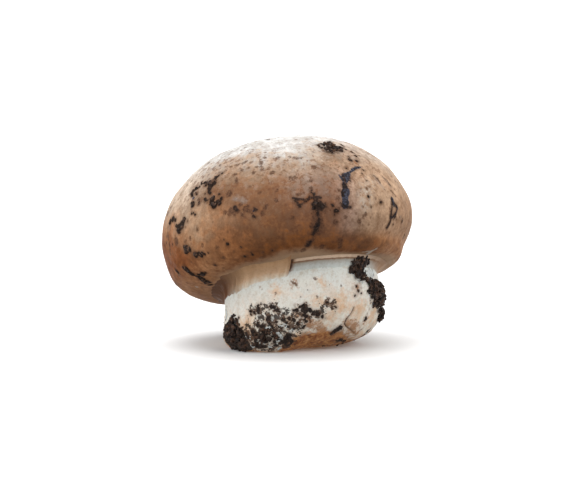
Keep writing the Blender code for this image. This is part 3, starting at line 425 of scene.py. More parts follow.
def stem_skin(phi, q):
    """The stem's side in world axes; q runs from 0 at the neck to 1 at the edge of the base."""
    phi, q = np.broadcast_arrays(np.asarray(phi, float), np.asarray(q, float))
    c, s = np.cos(phi), np.sin(phi)
    up, out = LEAN @ np.array([0.0, 0.0, 1.0]), np.stack([c, s, 0 * c], -1) @ LEAN.T
    p0 = to_world(neck_ring(phi, NECK_HEIGHT))
    p1 = p0 - up * around(NECK_LENGTH, phi)[..., None] + out * around(NECK_FLARE, phi)[..., None]
    r2, z2, rb = around(FOOT_RADIUS, phi), around(FOOT_HEIGHT, phi), around(BASE_RADIUS, phi)
    p2 = np.stack([BASE_CENTRE[0] + r2 * c, BASE_CENTRE[1] + r2 * s, z2], -1)
    p3 = np.stack([BASE_CENTRE[0] + rb * c, BASE_CENTRE[1] + rb * s, 0 * c], -1)
    w = q[..., None]
    p = (1 - w) ** 3 * p0 + 3 * (1 - w) ** 2 * w * p1 + 3 * (1 - w) * w * w * p2 + w ** 3 * p3
    away = np.stack([c, s, 0 * c], -1)
    fade = smoothstep(0.0, 0.15, q) * smoothstep(1.0, 0.86, q)
    return p + away * (STEM_WAVE * fade * fractal(p, STEM_WAVE_SIZE, 2, 11))[..., None]


def rim_ring(phi):
    return cap_skin(phi, np.ones_like(phi))


def underside_ring(phi, share):
    """A ring of the cap's underside, share of the way from the rim's inner edge to the socket's mouth."""
    ring = rim_ring(phi) * (1.0 - share) + neck_ring(phi, SOCKET_MOUTH, GAP + 0.05) * share
    ring[:, 2] += UNDERSIDE_ARCH * math.sin(math.pi * share)
    return ring


def skin_point(skin, phi, v):
    return to_world(cap_skin(phi, v)) if skin == "cap" else stem_skin(phi, v)


def skin_frame(skin, phi, v):
    """Point, outward unit normal and the two lengths per unit of phi and v of a skin."""
    step = 1e-3
    point = skin_point(skin, phi, v)
    d_phi = (skin_point(skin, phi + step, v) - skin_point(skin, phi - step, v)) / (2 * step)
    d_v = (skin_point(skin, phi, v + step) - skin_point(skin, phi, v - step)) / (2 * step)
    normal = np.cross(d_v, d_phi)
    normal = normal / np.linalg.norm(normal, axis=-1, keepdims=True)
    return point, normal, np.linalg.norm(d_phi, axis=-1), np.linalg.norm(d_v, axis=-1)

# ---------------------------------------------------------------- skins with their fine relief
def azimuths(count):
    """Azimuths of the columns, closer together at the front."""
    a = np.linspace(0.0, 2.0 * math.pi, 4001)
    run = a + FRONT_SHARE * (np.sin(a - math.radians(270.0)) - math.sin(-math.radians(270.0)))
    return np.interp(np.arange(count) / count * 2.0 * math.pi, run, a)


def radial(phi, reach, along_it, stretch):
    """A coordinate that runs along the fibres much slower than across them."""
    phi, along_it = np.broadcast_arrays(phi, along_it)
    return np.stack([np.cos(phi) * reach, np.sin(phi) * reach, along_it * stretch], -1)


def cap_relief(p, phi, t):
    """Height of the cap's fine relief in mm at points p of its own frame."""
    flow = radial(phi, 16.0, t * PROFILE_LENGTH, 0.13)
    fibres = fractal(flow, 1.1, 3, 41) * smoothstep(0.06, 0.30, t)
    dents = fractal(p, 4.2, 3, 23, 0.45)
    pits = np.maximum(noise(p, 1.5, 77) - 0.35, 0.0)
    wrinkle = noise(radial(phi, 26.0, t * PROFILE_LENGTH, 0.5), 1.3, 91) * smoothstep(0.80, 0.93, t)
    return 0.085 * dents + 0.018 * fibres - 0.05 * pits + 0.012 * wrinkle


def stem_relief(p, phi, q):
    flow = radial(phi + q * around(STEM_SLANT, phi), 16.0, q * 18.0, 0.16)
    fibres = fractal(flow, 0.9, 3, 61)
    lumps = fractal(p, 2.6, 3, 53, 0.5)
    lower = smoothstep(0.35, 0.85, q)
    return (0.026 * fibres + (0.06 + 0.10 * lower) * lumps) * smoothstep(0.0, 0.06, q)


def grid_normals(grid):
    """Outward unit normals of a closed grid of rings that run downwards."""
    across = np.roll(grid, -1, 1) - np.roll(grid, 1, 1)
    down = np.gradient(grid, axis=0)
    n = np.cross(down, across)
    return n / np.maximum(np.linalg.norm(n, axis=-1, keepdims=True), 1e-9)


def triangles_of_tube(rows, columns, start=0):
    r, c = np.meshgrid(np.arange(rows - 1), np.arange(columns), indexing="ij")
    d = (c + 1) % columns
    a, b = r * columns + c + start, r * columns + d + start
    e, f = (r + 1) * columns + c + start, (r + 1) * columns + d + start
    return np.stack([a, e, f, b], -1).reshape(-1, 4)


def mesh_object(name, verts, faces, material, fields=None, smooth=True):
    """A mesh in metres from points in mm. fields holds one number or vector per point, kept as an attribute."""
    mesh = bpy.data.meshes.new(name)
    mesh.from_pydata((np.asarray(verts, float) * MM).tolist(), [], faces)
    for key, values in (fields or {}).items():
        values = np.asarray(values, np.float32)
        kind = "FLOAT_VECTOR" if values.ndim == 2 else "FLOAT"
        layer = mesh.attributes.new(key, kind, "POINT")
        layer.data.foreach_set("vector" if values.ndim == 2 else "value", values.ravel())
    mesh.validate()
    if smooth:
        mesh.shade_smooth()
    mesh.materials.append(material)
    obj = bpy.data.objects.new(name, mesh)
    bpy.context.collection.objects.link(obj)
    return obj


# ---------------------------------------------------------------- from the front elevation on to the skin
def tree_of(grid):
    rows, columns = grid.shape[:2]
    return BVHTree.FromPolygons(grid.reshape(-1, 3).tolist(), triangles_of_tube(rows, columns).tolist())


PHI_COARSE = np.arange(240) * 2.0 * math.pi / 240
CAP_COARSE = to_world(cap_skin(PHI_COARSE[None, :], np.linspace(0.004, 1.0, 150)[:, None]))
STEM_COARSE = stem_skin(PHI_COARSE[None, :], np.linspace(0.0, 1.0, 90)[:, None])
TREES = {"cap": tree_of(CAP_COARSE), "stem": tree_of(STEM_COARSE)}
TILT = math.radians(VIEW_ELEVATION)
EYE = Vector((VIEW_TARGET[0], VIEW_TARGET[1] - VIEW_DISTANCE * math.cos(TILT), VIEW_TARGET[2] + VIEW_DISTANCE * math.sin(TILT)))


def seen(skin, u, v):
    """The point of a skin on the line of sight through (u, v), and its outward normal; None if the line misses it."""
    aim = Vector(VIEW_TARGET) + Vector((u, v * math.sin(TILT), v * math.cos(TILT)))
    casts = [TREES[name].ray_cast(EYE, (aim - EYE).normalized()) for name in (TREES if skin == "any" else (skin,))]
    casts = sorted((c for c in casts if c[0] is not None), key=lambda c: c[3])
    if not casts:
        return None
    hit, normal = casts[0][:2]
    if normal.dot(aim - EYE) > 0:
        normal = -normal
    return np.array(hit), np.array(normal)


def trace(skin, line, step=0.2):
    """Points along a mark on the skin, with its half width at each."""
    line = np.array(line, float)
    if len(line) > 1:
        run = np.concatenate([[0.0], np.cumsum(np.linalg.norm(np.diff(line[:, :2], axis=0), axis=1))])
        s = np.linspace(0.0, run[-1], max(2, int(run[-1] / step) + 1))
        line = np.stack([np.interp(s, run, line[:, k]) for k in range(3)], 1)
    found = [(seen(skin, u, v), r) for u, v, r in line]
    found = [(hit[0], hit[1], r) for hit, r in found if hit is not None]
    if not found:
        return np.zeros((0, 3)), np.zeros((0, 3)), np.zeros(0)
    return np.array([f[0] for f in found]), np.array([f[1] for f in found]), np.array([f[2] for f in found])


def clotted(marks, seed, speck=1.0):
    """Dark marks broken into uneven clots with a few specks beside them, as wet soil dries on skin."""
    rng = np.random.default_rng(seed)
    made = []
    for kind, points, normals, radii in marks:
        if kind in ("smear", "blue"):
            made.append((kind, points, normals, radii * rng.uniform(0.85, 1.25, len(radii))))
            continue
        if kind != "dark":
            made.append((kind, points, normals, radii))
            continue
        keep, k = [], 0
        while k < len(points):
            r = radii[k] * rng.uniform(0.85, 1.50) + 0.03
            side = rng.normal(size=3) * (0.08 + 0.25 * radii[k])
            side -= side.dot(normals[k]) * normals[k]
            if rng.random() > 0.06 or len(points) < 3:
                keep.append((points[k] + side, normals[k], r))
            if kind == "dark" and rng.random() < 0.34:
                away = rng.normal(size=3)
                away -= away.dot(normals[k]) * normals[k]
                away /= np.linalg.norm(away) + 1e-9
                keep.append((points[k] + away * rng.uniform(0.35, 1.25), normals[k], rng.uniform(0.06, 0.17) * speck))
            k += 1 + int(rng.random() < 0.5)
        made.append((kind, np.array([p for p, _, _ in keep]), np.array([n for _, n, _ in keep]), np.array([r for _, _, r in keep])))
    return made


def rambling(skin, azimuth, v, heading, length, width, rng, step=0.35):
    """A wandering mark on the skin where the front elevation doesn't reach."""
    phi, place, points, normals, radii = math.radians(azimuth), v, [], [], []
    count = max(1, int(length / step))
    for k in range(count):
        point, normal, reach_phi, reach_v = skin_frame(skin, np.array(phi), np.array(place))
        points.append(point)
        normals.append(normal)
        radii.append(width * (0.45 + 0.75 * rng.random()) * (1.0 - 0.5 * abs(2.0 * k / count - 1.0)))
        heading += rng.normal(0.0, 0.45)
        phi += step * math.sin(heading) / float(reach_phi)
        place = min(max(place + step * math.cos(heading) / float(reach_v), 0.03), 0.97)
    return np.array(points), np.array(normals), np.array(radii)


def hidden_marks(skin, count, seed):
    """Marks for the sides and the back, as thick as the front's."""
    rng = np.random.default_rng(seed)
    made = []
    kinds = ["dark", "brown", "brown", "dark", "brown", "blue", "grey"] if skin == "cap" else ["dark", "dark", "dark", "rust", "peach", "white"]
    while len(made) < count:
        azimuth = rng.uniform(-35.0, 205.0)
        v = rng.uniform(0.16, 0.90) if skin == "cap" else rng.uniform(0.30, 0.93) ** 0.7
        kind = kinds[rng.integers(len(kinds))]
        long = rng.random() < 0.28
        length = rng.uniform(1.2, 4.2) if long else rng.uniform(0.2, 0.9)
        width = {"dark": 0.30, "brown": 0.36, "blue": 0.36, "grey": 0.5, "rust": 0.5, "peach": 1.0, "white": 0.35}[kind]
        made.append((kind,) + rambling(skin, azimuth, v, rng.uniform(0.0, 6.28), length, width * rng.uniform(0.6, 1.15), rng))
    return made


def all_marks(skin, table, hidden, seed):
    made = [(kind,) + trace(skin, line) for kind, line in table]
    return clotted([m for m in made if len(m[1])] + hidden_marks(skin, hidden, seed), seed + 50, 1.0 if skin == "cap" else 0.5)


def distance_fields(verts, marks, kinds, far=2.0):
    """How far each point is from the edge of the nearest mark of each kind, less than 0 inside it."""
    fields = {kind: np.full(len(verts), far) for kind in kinds}
    for kind, points, _, radii in marks:
        if kind not in fields:
            continue
        near = np.where(np.all((verts > points.min(0) - far) & (verts < points.max(0) + far), axis=1))[0]
        if len(near):
            d = (np.linalg.norm(verts[near][:, None, :] - points[None], axis=-1) - radii[None]).min(1)
            fields[kind][near] = np.minimum(fields[kind][near], d)
    return fields


# ---------------------------------------------------------------- materials
class Nodes:
    """A small writer of shader nodes: every method returns the output socket it made."""

    def __init__(self, name):
        self.material = bpy.data.materials.new(name)
        self.material.use_nodes = True
        self.tree = self.material.node_tree
        self.shader = next(n for n in self.tree.nodes if n.type == "BSDF_PRINCIPLED")
        self.place = self.add("ShaderNodeTexCoord").outputs["Object"]

    def add(self, kind, **settings):
        node = self.tree.nodes.new(kind)
        for key, value in settings.items():
            setattr(node, key, value)
        return node

    def put(self, socket, value):
        if isinstance(value, bpy.types.NodeSocket):
            self.tree.links.new(value, socket)
        elif isinstance(value, (tuple, list)) and socket.type == "RGBA" and len(value) == 3:
            socket.default_value = (*value, 1.0)
        else:
            socket.default_value = value

    def field(self, name, output="Fac"):
        return self.add("ShaderNodeAttribute", attribute_name=name).outputs[output]

    def noise(self, size, detail=2.0, rough=0.5, vector=None, warp=0.0):
        """Noise around 0.5 with features of the given size in mm."""
        node = self.add("ShaderNodeTexNoise")
        self.put(node.inputs["Vector"], vector if vector is not None else self.place)
        self.put(node.inputs["Scale"], 1000.0 / size if vector is None else 1.0 / size)
        self.put(node.inputs["Detail"], detail)
        self.put(node.inputs["Roughness"], rough)
        self.put(node.inputs["Distortion"], warp)
        return node.outputs["Fac"]

    def cells(self, size, feature="F1", randomness=1.0, output="Distance"):
        node = self.add("ShaderNodeTexVoronoi", feature=feature)
        self.put(node.inputs["Vector"], self.place)
        self.put(node.inputs["Scale"], 1000.0 / size)
        self.put(node.inputs["Randomness"], randomness)
        return node.outputs[output]

    def maths(self, operation, a, b=0.5, c=None, clamp=False):
        node = self.add("ShaderNodeMath", operation=operation, use_clamp=clamp)
        self.put(node.inputs[0], a)
        self.put(node.inputs[1], b)
        if c is not None:
            self.put(node.inputs[2], c)
        return node.outputs[0]

    def remap(self, value, low, high, to_low=0.0, to_high=1.0, smooth=True):
        node = self.add("ShaderNodeMapRange", interpolation_type="SMOOTHSTEP" if smooth else "LINEAR")
        for key, number in zip(("Value", "From Min", "From Max", "To Min", "To Max"), (value, low, high, to_low, to_high)):
            self.put(node.inputs[key], number)
        return node.outputs["Result"]

    def ramp(self, value, stops):
        node = self.add("ShaderNodeValToRGB")
        band = node.color_ramp
        while len(band.elements) < len(stops):
            band.elements.new(0.5)
        for element, (place, colour) in zip(band.elements, stops):
            element.position = place
            element.color = (*colour, 1.0)
        self.put(node.inputs[0], value)
        return node.outputs["Color"]

    def mix(self, share, a, b, blend="MIX"):
        node = self.add("ShaderNodeMix", data_type="RGBA", blend_type=blend, clamp_factor=True)
        self.put(node.inputs["Factor"], share)
        for key, value in ((6, a), (7, b)):
            self.put(node.inputs[key], value)
        return node.outputs[2]

    def bump(self, height, depth, strength=1.0, normal=None):
        node = self.add("ShaderNodeBump")
        self.put(node.inputs["Strength"], strength)
        self.put(node.inputs["Distance"], depth * MM)
        self.put(node.inputs["Height"], height)
        if normal is not None:
            self.put(node.inputs["Normal"], normal)
        return node.outputs["Normal"]

    def edge(self, name, soft=0.12, jitter=0.30, fine=0.14):
        """1 inside a mark and 0 outside it, with a ragged edge."""
        d = self.field(name)
        d = self.maths("ADD", d, self.maths("MULTIPLY", self.maths("SUBTRACT", self.noise(0.9, 2.0, 0.6), 0.5), jitter * 2.0))
        d = self.maths("ADD", d, self.maths("MULTIPLY", self.maths("SUBTRACT", self.noise(0.28, 2.0, 0.6), 0.5), fine * 2.0))
        return self.remap(d, soft, -soft)

    def finish(self, colour, roughness, normal, **fixed):
        self.put(self.shader.inputs["Base Color"], colour)
        self.put(self.shader.inputs["Roughness"], roughness)
        self.put(self.shader.inputs["Normal"], normal)
        for key, value in fixed.items():
            self.shader.inputs[key.replace("_", " ")].default_value = value
        return self.material


def cap_material():
    """Brown skin: pale and mottled at the crown, partly as a painted highlight, and darker down the side, partly as
    painted shade, with freckles, fibres, scuffs and wet smears whose blue tint is a painted reflection.
    """
    n = Nodes("cap_skin")
    flow = n.field("flow", "Vector")
    down = n.field("down")
    broad = n.noise(8.0, 3.0, 0.55)
    patch = n.noise(2.2, 4.0, 0.62)
    small = n.noise(0.95, 4.0, 0.68)
    grain = n.noise(0.38, 3.0, 0.65)
    streak = n.noise(0.9, 3.0, 0.6, flow)
    fine_streak = n.noise(0.32, 2.0, 0.6, flow)
    level = n.maths("ADD", down, n.maths("MULTIPLY", n.maths("SUBTRACT", broad, 0.5), 0.34))
    soft_level = n.maths("ADD", level, n.maths("MULTIPLY", n.maths("SUBTRACT", patch, 0.5), 0.22))
    level = n.maths("ADD", level, n.maths("MULTIPLY", n.maths("SUBTRACT", patch, 0.5), 0.46))
    level = n.maths("ADD", level, n.maths("MULTIPLY", n.maths("SUBTRACT", small, 0.5), 0.26))
    level = n.maths("ADD", level, n.maths("MULTIPLY", n.maths("SUBTRACT", streak, 0.5), 0.16))
    # flank and middle run from the pale crown, partly a painted highlight, down to the dark lower cap, partly painted
    # shade
    flank = n.ramp(soft_level, [(0.00, (0.49, 0.492, 0.485)), (0.36, (0.49, 0.475, 0.452)), (0.50, (0.50, 0.465, 0.415)),
                                (0.60, (0.48, 0.405, 0.325)), (0.66, (0.47, 0.355, 0.255)), (0.73, (0.43, 0.275, 0.168)),
                                (0.79, (0.36, 0.180, 0.087)), (0.85, (0.37, 0.175, 0.078)), (0.92, (0.40, 0.198, 0.095))])
    middle = n.ramp(level, [(0.00, (0.50, 0.502, 0.495)), (0.36, (0.48, 0.465, 0.445)), (0.43, (0.36, 0.295, 0.240)),
                            (0.51, (0.275, 0.187, 0.127)), (0.58, (0.250, 0.163, 0.105)), (0.68, (0.192, 0.097, 0.050)),
                            (0.77, (0.145, 0.062, 0.027)), (0.84, (0.165, 0.068, 0.027)), (0.91, (0.170, 0.060, 0.017))])
    # the middle field browns the front and the far side: partly real chestnut tone, partly painted shade on the front
    colour = n.mix(n.field("middle"), flank, middle)
    colour = n.mix(n.maths("MULTIPLY", n.field("orange"), 0.90), colour, n.ramp(soft_level, [(0.60, (0.46, 0.350, 0.262)), (0.70, (0.34, 0.180, 0.094)), (0.77, (0.200, 0.069, 0.020)), (0.84, (0.160, 0.046, 0.0105)), (0.92, (0.220, 0.073, 0.019))]))
    colour = n.mix(n.maths("MULTIPLY", n.field("orange"), n.remap(down, 0.825, 0.90, 0.0, 0.70)), colour, (0.50, 0.270, 0.137))
    colour = n.mix(n.maths("MULTIPLY", n.field("pink"), 0.9), colour, (0.385, 0.250, 0.163))
    colour = n.mix(n.maths("MULTIPLY", n.field("tan"), 0.70), colour, (0.41, 0.272, 0.176))
    warmth = n.field("warmth")
    colour = n.mix(warmth, colour, n.mix(1.0, colour, (0.96, 0.85, 0.75), "MULTIPLY"))
    colour = n.mix(n.maths("MULTIPLY", warmth, -1.0), colour, n.mix(1.0, colour, (1.04, 1.12, 1.38), "MULTIPLY"))
    # silky fibres and mottling
    calm = n.remap(n.field("back"), 0.0, 1.0, 1.0, 0.55, smooth=False)
    colour = n.mix(0.30, colour, n.ramp(streak, [(0.36, (0.80, 0.76, 0.72)), (0.50, (1.0, 1.0, 1.0)), (0.64, (1.18, 1.19, 1.20))]), "MULTIPLY")
    colour = n.mix(0.16, colour, n.ramp(fine_streak, [(0.36, (0.84, 0.81, 0.78)), (0.52, (1.0, 1.0, 1.0)), (0.68, (1.12, 1.12, 1.12))]), "MULTIPLY")
    colour = n.mix(n.maths("MULTIPLY", calm, 0.80), colour, n.ramp(patch, [(0.38, (0.72, 0.66, 0.61)), (0.50, (1.0, 1.0, 1.0)), (0.60, (1.22, 1.25, 1.28))]), "MULTIPLY")
    colour = n.mix(n.maths("MULTIPLY", calm, 0.50), colour, n.ramp(small, [(0.38, (0.68, 0.61, 0.56)), (0.50, (1.0, 1.0, 1.0)), (0.62, (1.26, 1.29, 1.32))]), "MULTIPLY")
    colour = n.mix(n.maths("MULTIPLY", calm, 0.30), colour, n.ramp(grain, [(0.38, (0.72, 0.67, 0.63)), (0.50, (1.0, 1.0, 1.0)), (0.62, (1.22, 1.24, 1.26))]), "MULTIPLY")
    # the far side is browner and darker, partly painted shade against the softbox behind it
    colour = n.mix(n.field("back"), colour, n.mix(1.0, colour, (0.74, 0.675, 0.61), "MULTIPLY"))
    # flecks: torn brown scales where the pale crown ends
    zone = n.maths("MULTIPLY", n.remap(down, 0.26, 0.46), n.remap(down, 0.90, 0.60, 0.22, 1.0))
    flecks = n.maths("MULTIPLY", n.remap(n.noise(1.0, 4.0, 0.66, None, 0.5), 0.53, 0.62), zone)
    flecks = n.maths("MULTIPLY", flecks, n.remap(n.field("back"), 0.0, 1.0, 1.0, 0.45, smooth=False))
    flecks = n.maths("MULTIPLY", flecks, n.remap(n.field("middle"), 0.1, 0.8, 0.30, 1.0))
    flecks = n.maths("MULTIPLY", flecks, n.remap(n.field("pink"), 0.0, 0.6, 1.0, 0.35))
    colour = n.mix(n.maths("MULTIPLY", flecks, 0.68), colour, (0.140, 0.062, 0.031))
    gaps = n.maths("MULTIPLY", n.remap(n.noise(1.3, 4.0, 0.66, None, 0.4), 0.55, 0.64), n.remap(down, 0.80, 0.40, 0.0, 0.24))
    colour = n.mix(gaps, colour, (0.50, 0.44, 0.38))
    # freckles
    dot = n.cells(1.35)
    pick = n.cells(1.35, output="Color")
    freckle = n.maths("MULTIPLY", n.remap(dot, 0.34, 0.08), n.maths("GREATER_THAN", pick, 0.58))
    colour = n.mix(n.maths("MULTIPLY", freckle, 0.60), colour, (0.105, 0.046, 0.024))
    dot = n.cells(0.6)
    pick = n.cells(0.6, output="Color")
    freckle = n.maths("MULTIPLY", n.maths("MULTIPLY", n.remap(dot, 0.36, 0.14), n.maths("GREATER_THAN", pick, 0.72)), calm)
    colour = n.mix(n.maths("MULTIPLY", freckle, 0.36), colour, (0.15, 0.066, 0.033))
    # the rolled rim is tan, darker on the left as painted shade of the hollow under the cap there
    rim = n.remap(n.maths("ADD", down, n.maths("MULTIPLY", n.maths("SUBTRACT", patch, 0.5), 0.06)), 0.925, 0.985)
    colour = n.mix(n.maths("MULTIPLY", rim, 0.80), colour, n.mix(n.field("orange"), (0.46, 0.295, 0.180), (0.42, 0.230, 0.128)))
    # marks, from the palest to the blackest
    scuff = n.maths("MULTIPLY", n.edge("scuff", 1.1, 1.0, 0.4), n.remap(n.noise(0.8, 4.0, 0.68), 0.43, 0.58))
    colour = n.mix(n.maths("MULTIPLY", scuff, 0.56), colour, (0.45, 0.39, 0.325))
    colour = n.mix(n.maths("MULTIPLY", n.edge("grey", 0.40), 0.34), colour, (0.215, 0.200, 0.188))
    spot = n.maths("MULTIPLY", n.edge("brown", 0.22, 0.48, 0.34), n.remap(n.noise(0.55, 3.0, 0.65), 0.38, 0.48, 0.55, 1.0))
    colour = n.mix(n.maths("MULTIPLY", spot, 0.84), colour, n.ramp(grain, [(0.40, (0.040, 0.018, 0.011)), (0.60, (0.115, 0.052, 0.027))]))
    colour = n.mix(n.maths("MULTIPLY", n.edge("rust", 0.3, 0.4, 0.2), 0.75), colour, (0.21, 0.075, 0.024))
    # bright: pale flecks and shreds, and at (-19.2, -7.4) low on the left a painted highlight
    colour = n.mix(n.maths("MULTIPLY", n.edge("bright", 0.20), 0.75), colour, (0.60, 0.54, 0.46))
    # wet smears of soil: near black, with a blue tint that is a painted reflection of the sky
    wet = n.edge("blue", 0.10, 0.24, 0.16)
    wet_smear_with_painted_reflection = n.ramp(n.noise(0.45, 3.0, 0.6), [(0.40, (0.010, 0.009, 0.011)), (0.50, (0.024, 0.026, 0.040)), (0.64, (0.054, 0.060, 0.088))])
    smear = n.edge("smear", 0.15, 0.28, 0.22)
    dark = n.edge("dark", 0.10, 0.22, 0.16)
    halo = n.maths("MULTIPLY", n.remap(n.maths("MINIMUM", n.field("dark"), n.field("smear")), 0.60, 0.0), 0.50)
    colour = n.mix(halo, colour, (0.085, 0.038, 0.020))
    colour = n.mix(n.maths("MULTIPLY", wet, 0.97), colour, wet_smear_with_painted_reflection)
    dark_colour = n.ramp(n.noise(0.4, 3.0, 0.6), [(0.35, (0.007, 0.005, 0.0045)), (0.66, (0.028, 0.017, 0.012))])
    colour = n.mix(n.maths("MULTIPLY", smear, 0.90), colour, n.ramp(n.noise(0.5, 3.0, 0.62), [(0.40, (0.008, 0.006, 0.006)), (0.54, (0.022, 0.014, 0.012)), (0.66, (0.075, 0.040, 0.026))]))
    colour = n.mix(n.maths("MULTIPLY", dark, 0.97), colour, dark_colour)
    rough = n.remap(n.noise(1.4, 3.0, 0.6), 0.3, 0.7, 0.50, 0.68, smooth=False)
    rough = n.maths("SUBTRACT", rough, n.maths("MULTIPLY", wet, 0.14))
    rough = n.maths("ADD", rough, n.maths("MULTIPLY", n.maths("MAXIMUM", dark, smear), 0.30), clamp=True)
    height = n.maths("ADD", n.maths("MULTIPLY", streak, 0.25), n.maths("MULTIPLY", fine_streak, 0.10))
    height = n.maths("ADD", height, n.maths("MULTIPLY", grain, 0.7))
    height = n.maths("ADD", height, n.maths("MULTIPLY", small, 0.8))
    height = n.maths("SUBTRACT", height, n.maths("MULTIPLY", flecks, 0.4))
    grit = n.maths("MULTIPLY", n.maths("MAXIMUM", dark, n.maths("MULTIPLY", n.maths("MAXIMUM", wet, smear), 0.4)), n.noise(0.30, 3.0, 0.7))
    normal = n.bump(height, 0.045, 0.7)
    normal = n.bump(grit, 0.20, 0.9, normal)
    return n.finish(colour, rough, normal, Specular_IOR_Level=0.06)


def stem_material():
    """White flesh with long fibres, greyer and bluer at the top under the cap as painted shade, peach and brown
    bruises, a brown cut base, and soil rubbed into it.
    """
    n = Nodes("stem_flesh")
    flow = n.field("flow", "Vector")
    fall = n.field("fall")
    streak = n.noise(0.8, 3.0, 0.6, flow)
    fine_streak = n.noise(0.28, 2.0, 0.6, flow)
    patch = n.noise(3.4, 3.0, 0.6)
    small = n.noise(1.0, 3.0, 0.62)
    # down the stem: grey-blue and darker at the top under the cap, painted shade, then creamier and browner towards the
    # base
    colour = n.ramp(fall, [(0.00, (0.60, 0.64, 0.61)), (0.16, (0.66, 0.685, 0.65)), (0.36, (0.76, 0.745, 0.69)), (0.60, (0.84, 0.79, 0.70)), (1.0, (0.84, 0.72, 0.58))])
    peach = n.maths("MULTIPLY", n.remap(n.maths("ADD", n.maths("MULTIPLY", patch, 0.60), n.maths("MULTIPLY", small, 0.40)), 0.475, 0.585), n.remap(fall, 0.16, 0.62))
    colour = n.mix(n.maths("MULTIPLY", peach, 0.66), colour, (0.74, 0.49, 0.31))
    base = n.maths("ADD", n.field("base"), n.maths("MULTIPLY", n.maths("SUBTRACT", small, 0.5), 0.9))
    base = n.maths("ADD", base, n.maths("MULTIPLY", n.maths("SUBTRACT", patch, 0.5), 0.5))
    tan = n.remap(base, 0.36, 0.78)
    colour = n.mix(n.maths("MULTIPLY", tan, 0.97), colour, n.ramp(small, [(0.38, (0.21, 0.064, 0.014)), (0.5, (0.37, 0.132, 0.034)), (0.62, (0.55, 0.270, 0.102))]))
    colour = n.mix(n.maths("MULTIPLY", n.edge("peach", 1.2, 2.2, 0.9), 0.66), colour, (0.70, 0.43, 0.235))
    colour = n.mix(n.maths("MULTIPLY", n.edge("rust", 0.75, 1.8, 1.1), 0.86), colour, (0.38, 0.165, 0.060))
    colour = n.mix(n.maths("MULTIPLY", n.edge("grey", 0.3), 0.6), colour, (0.30, 0.28, 0.27))
    colour = n.mix(0.50, colour, n.ramp(streak, [(0.30, (0.88, 0.84, 0.80)), (0.50, (1.0, 1.0, 1.0)), (0.74, (1.04, 1.05, 1.05))]), "MULTIPLY")
    colour = n.mix(0.25, colour, n.ramp(fine_streak, [(0.32, (0.88, 0.85, 0.81)), (0.50, (1.0, 1.0, 1.0))]), "MULTIPLY")
    colour = n.mix(0.50, colour, n.ramp(small, [(0.38, (0.82, 0.72, 0.62)), (0.47, (1.0, 1.0, 1.0)), (0.62, (1.06, 1.07, 1.07))]), "MULTIPLY")
    colour = n.mix(0.45, colour, n.ramp(n.noise(0.36, 3.0, 0.65), [(0.38, (0.82, 0.76, 0.70)), (0.47, (1.0, 1.0, 1.0)), (0.62, (1.05, 1.05, 1.05))]), "MULTIPLY")
    # soil rubbed into the lower part
    lace = n.maths("ADD", n.maths("MULTIPLY", n.noise(0.85, 3.0, 0.62), 0.7), n.maths("MULTIPLY", n.noise(0.26, 2.0, 0.6), 0.3))
    inside = n.remap(n.field("rub"), 1.1, -1.2)
    soiled = n.maths("MAXIMUM", n.field("grime"), inside)
    cover = n.maths("ADD", lace, n.maths("MULTIPLY", soiled, 0.145))
    cover = n.maths("SUBTRACT", cover, n.maths("MULTIPLY", n.remap(soiled, 0.25, 0.0), 0.045))
    rubbed = n.remap(cover, 0.615, 0.655)
    colour = n.mix(n.maths("MULTIPLY", rubbed, 0.93), colour, (0.026, 0.017, 0.013))
    colour = n.mix(n.edge("white", 0.14, 0.45, 0.3), colour, (0.58, 0.575, 0.530))
    dot = n.cells(1.6)
    pick = n.cells(1.6, output="Color")
    speck = n.maths("MULTIPLY", n.remap(dot, 0.22, 0.08), n.maths("GREATER_THAN", pick, 0.84))
    colour = n.mix(n.maths("MULTIPLY", speck, 0.55), colour, (0.26, 0.130, 0.066))
    colour = n.mix(n.maths("MULTIPLY", n.edge("fleck", 0.14, 0.40, 0.24), 0.85), colour, (0.105, 0.050, 0.027))
    halo = n.maths("MULTIPLY", n.remap(n.field("dark"), 0.60, 0.0), 0.42)
    colour = n.mix(halo, colour, (0.24, 0.130, 0.075))
    dark = n.maths("MAXIMUM", n.edge("dark", 0.09, 0.26, 0.18), n.edge("solid", 0.12, 0.4, 0.2))
    dark_colour = n.ramp(n.noise(0.3, 2.0, 0.6), [(0.35, (0.010, 0.007, 0.006)), (0.62, (0.034, 0.022, 0.017))])
    colour = n.mix(n.maths("MULTIPLY", dark, 0.97), colour, dark_colour)
    # the crack: browner beside it, and near black in its groove as painted shade
    split = n.remap(n.field("crack"), 0.07, -0.06)
    colour = n.mix(n.maths("MULTIPLY", n.remap(n.field("crack"), 0.5, 0.0), 0.35), colour, (0.36, 0.20, 0.12))
    colour = n.mix(n.maths("MULTIPLY", split, 0.9), colour, (0.055, 0.034, 0.024))
    rough = n.remap(small, 0.3, 0.7, 0.52, 0.68, smooth=False)
    rough = n.maths("ADD", rough, n.maths("MULTIPLY", dark, 0.25), clamp=True)
    height = n.maths("ADD", n.maths("MULTIPLY", streak, 0.9), n.maths("MULTIPLY", fine_streak, 0.6))
    height = n.maths("ADD", height, n.maths("MULTIPLY", n.noise(0.20, 3.0, 0.6), 0.5))
    grit = n.maths("MULTIPLY", n.maths("MAXIMUM", dark, rubbed), n.noise(0.30, 3.0, 0.7))
    normal = n.bump(height, 0.03, 0.8)
    normal = n.bump(grit, 0.25, 0.9, normal)
    return n.finish(colour, rough, normal, Specular_IOR_Level=0.16, Subsurface_Weight=0.12, Subsurface_Radius=(0.0012, 0.0009, 0.0006), Subsurface_Scale=1.0)


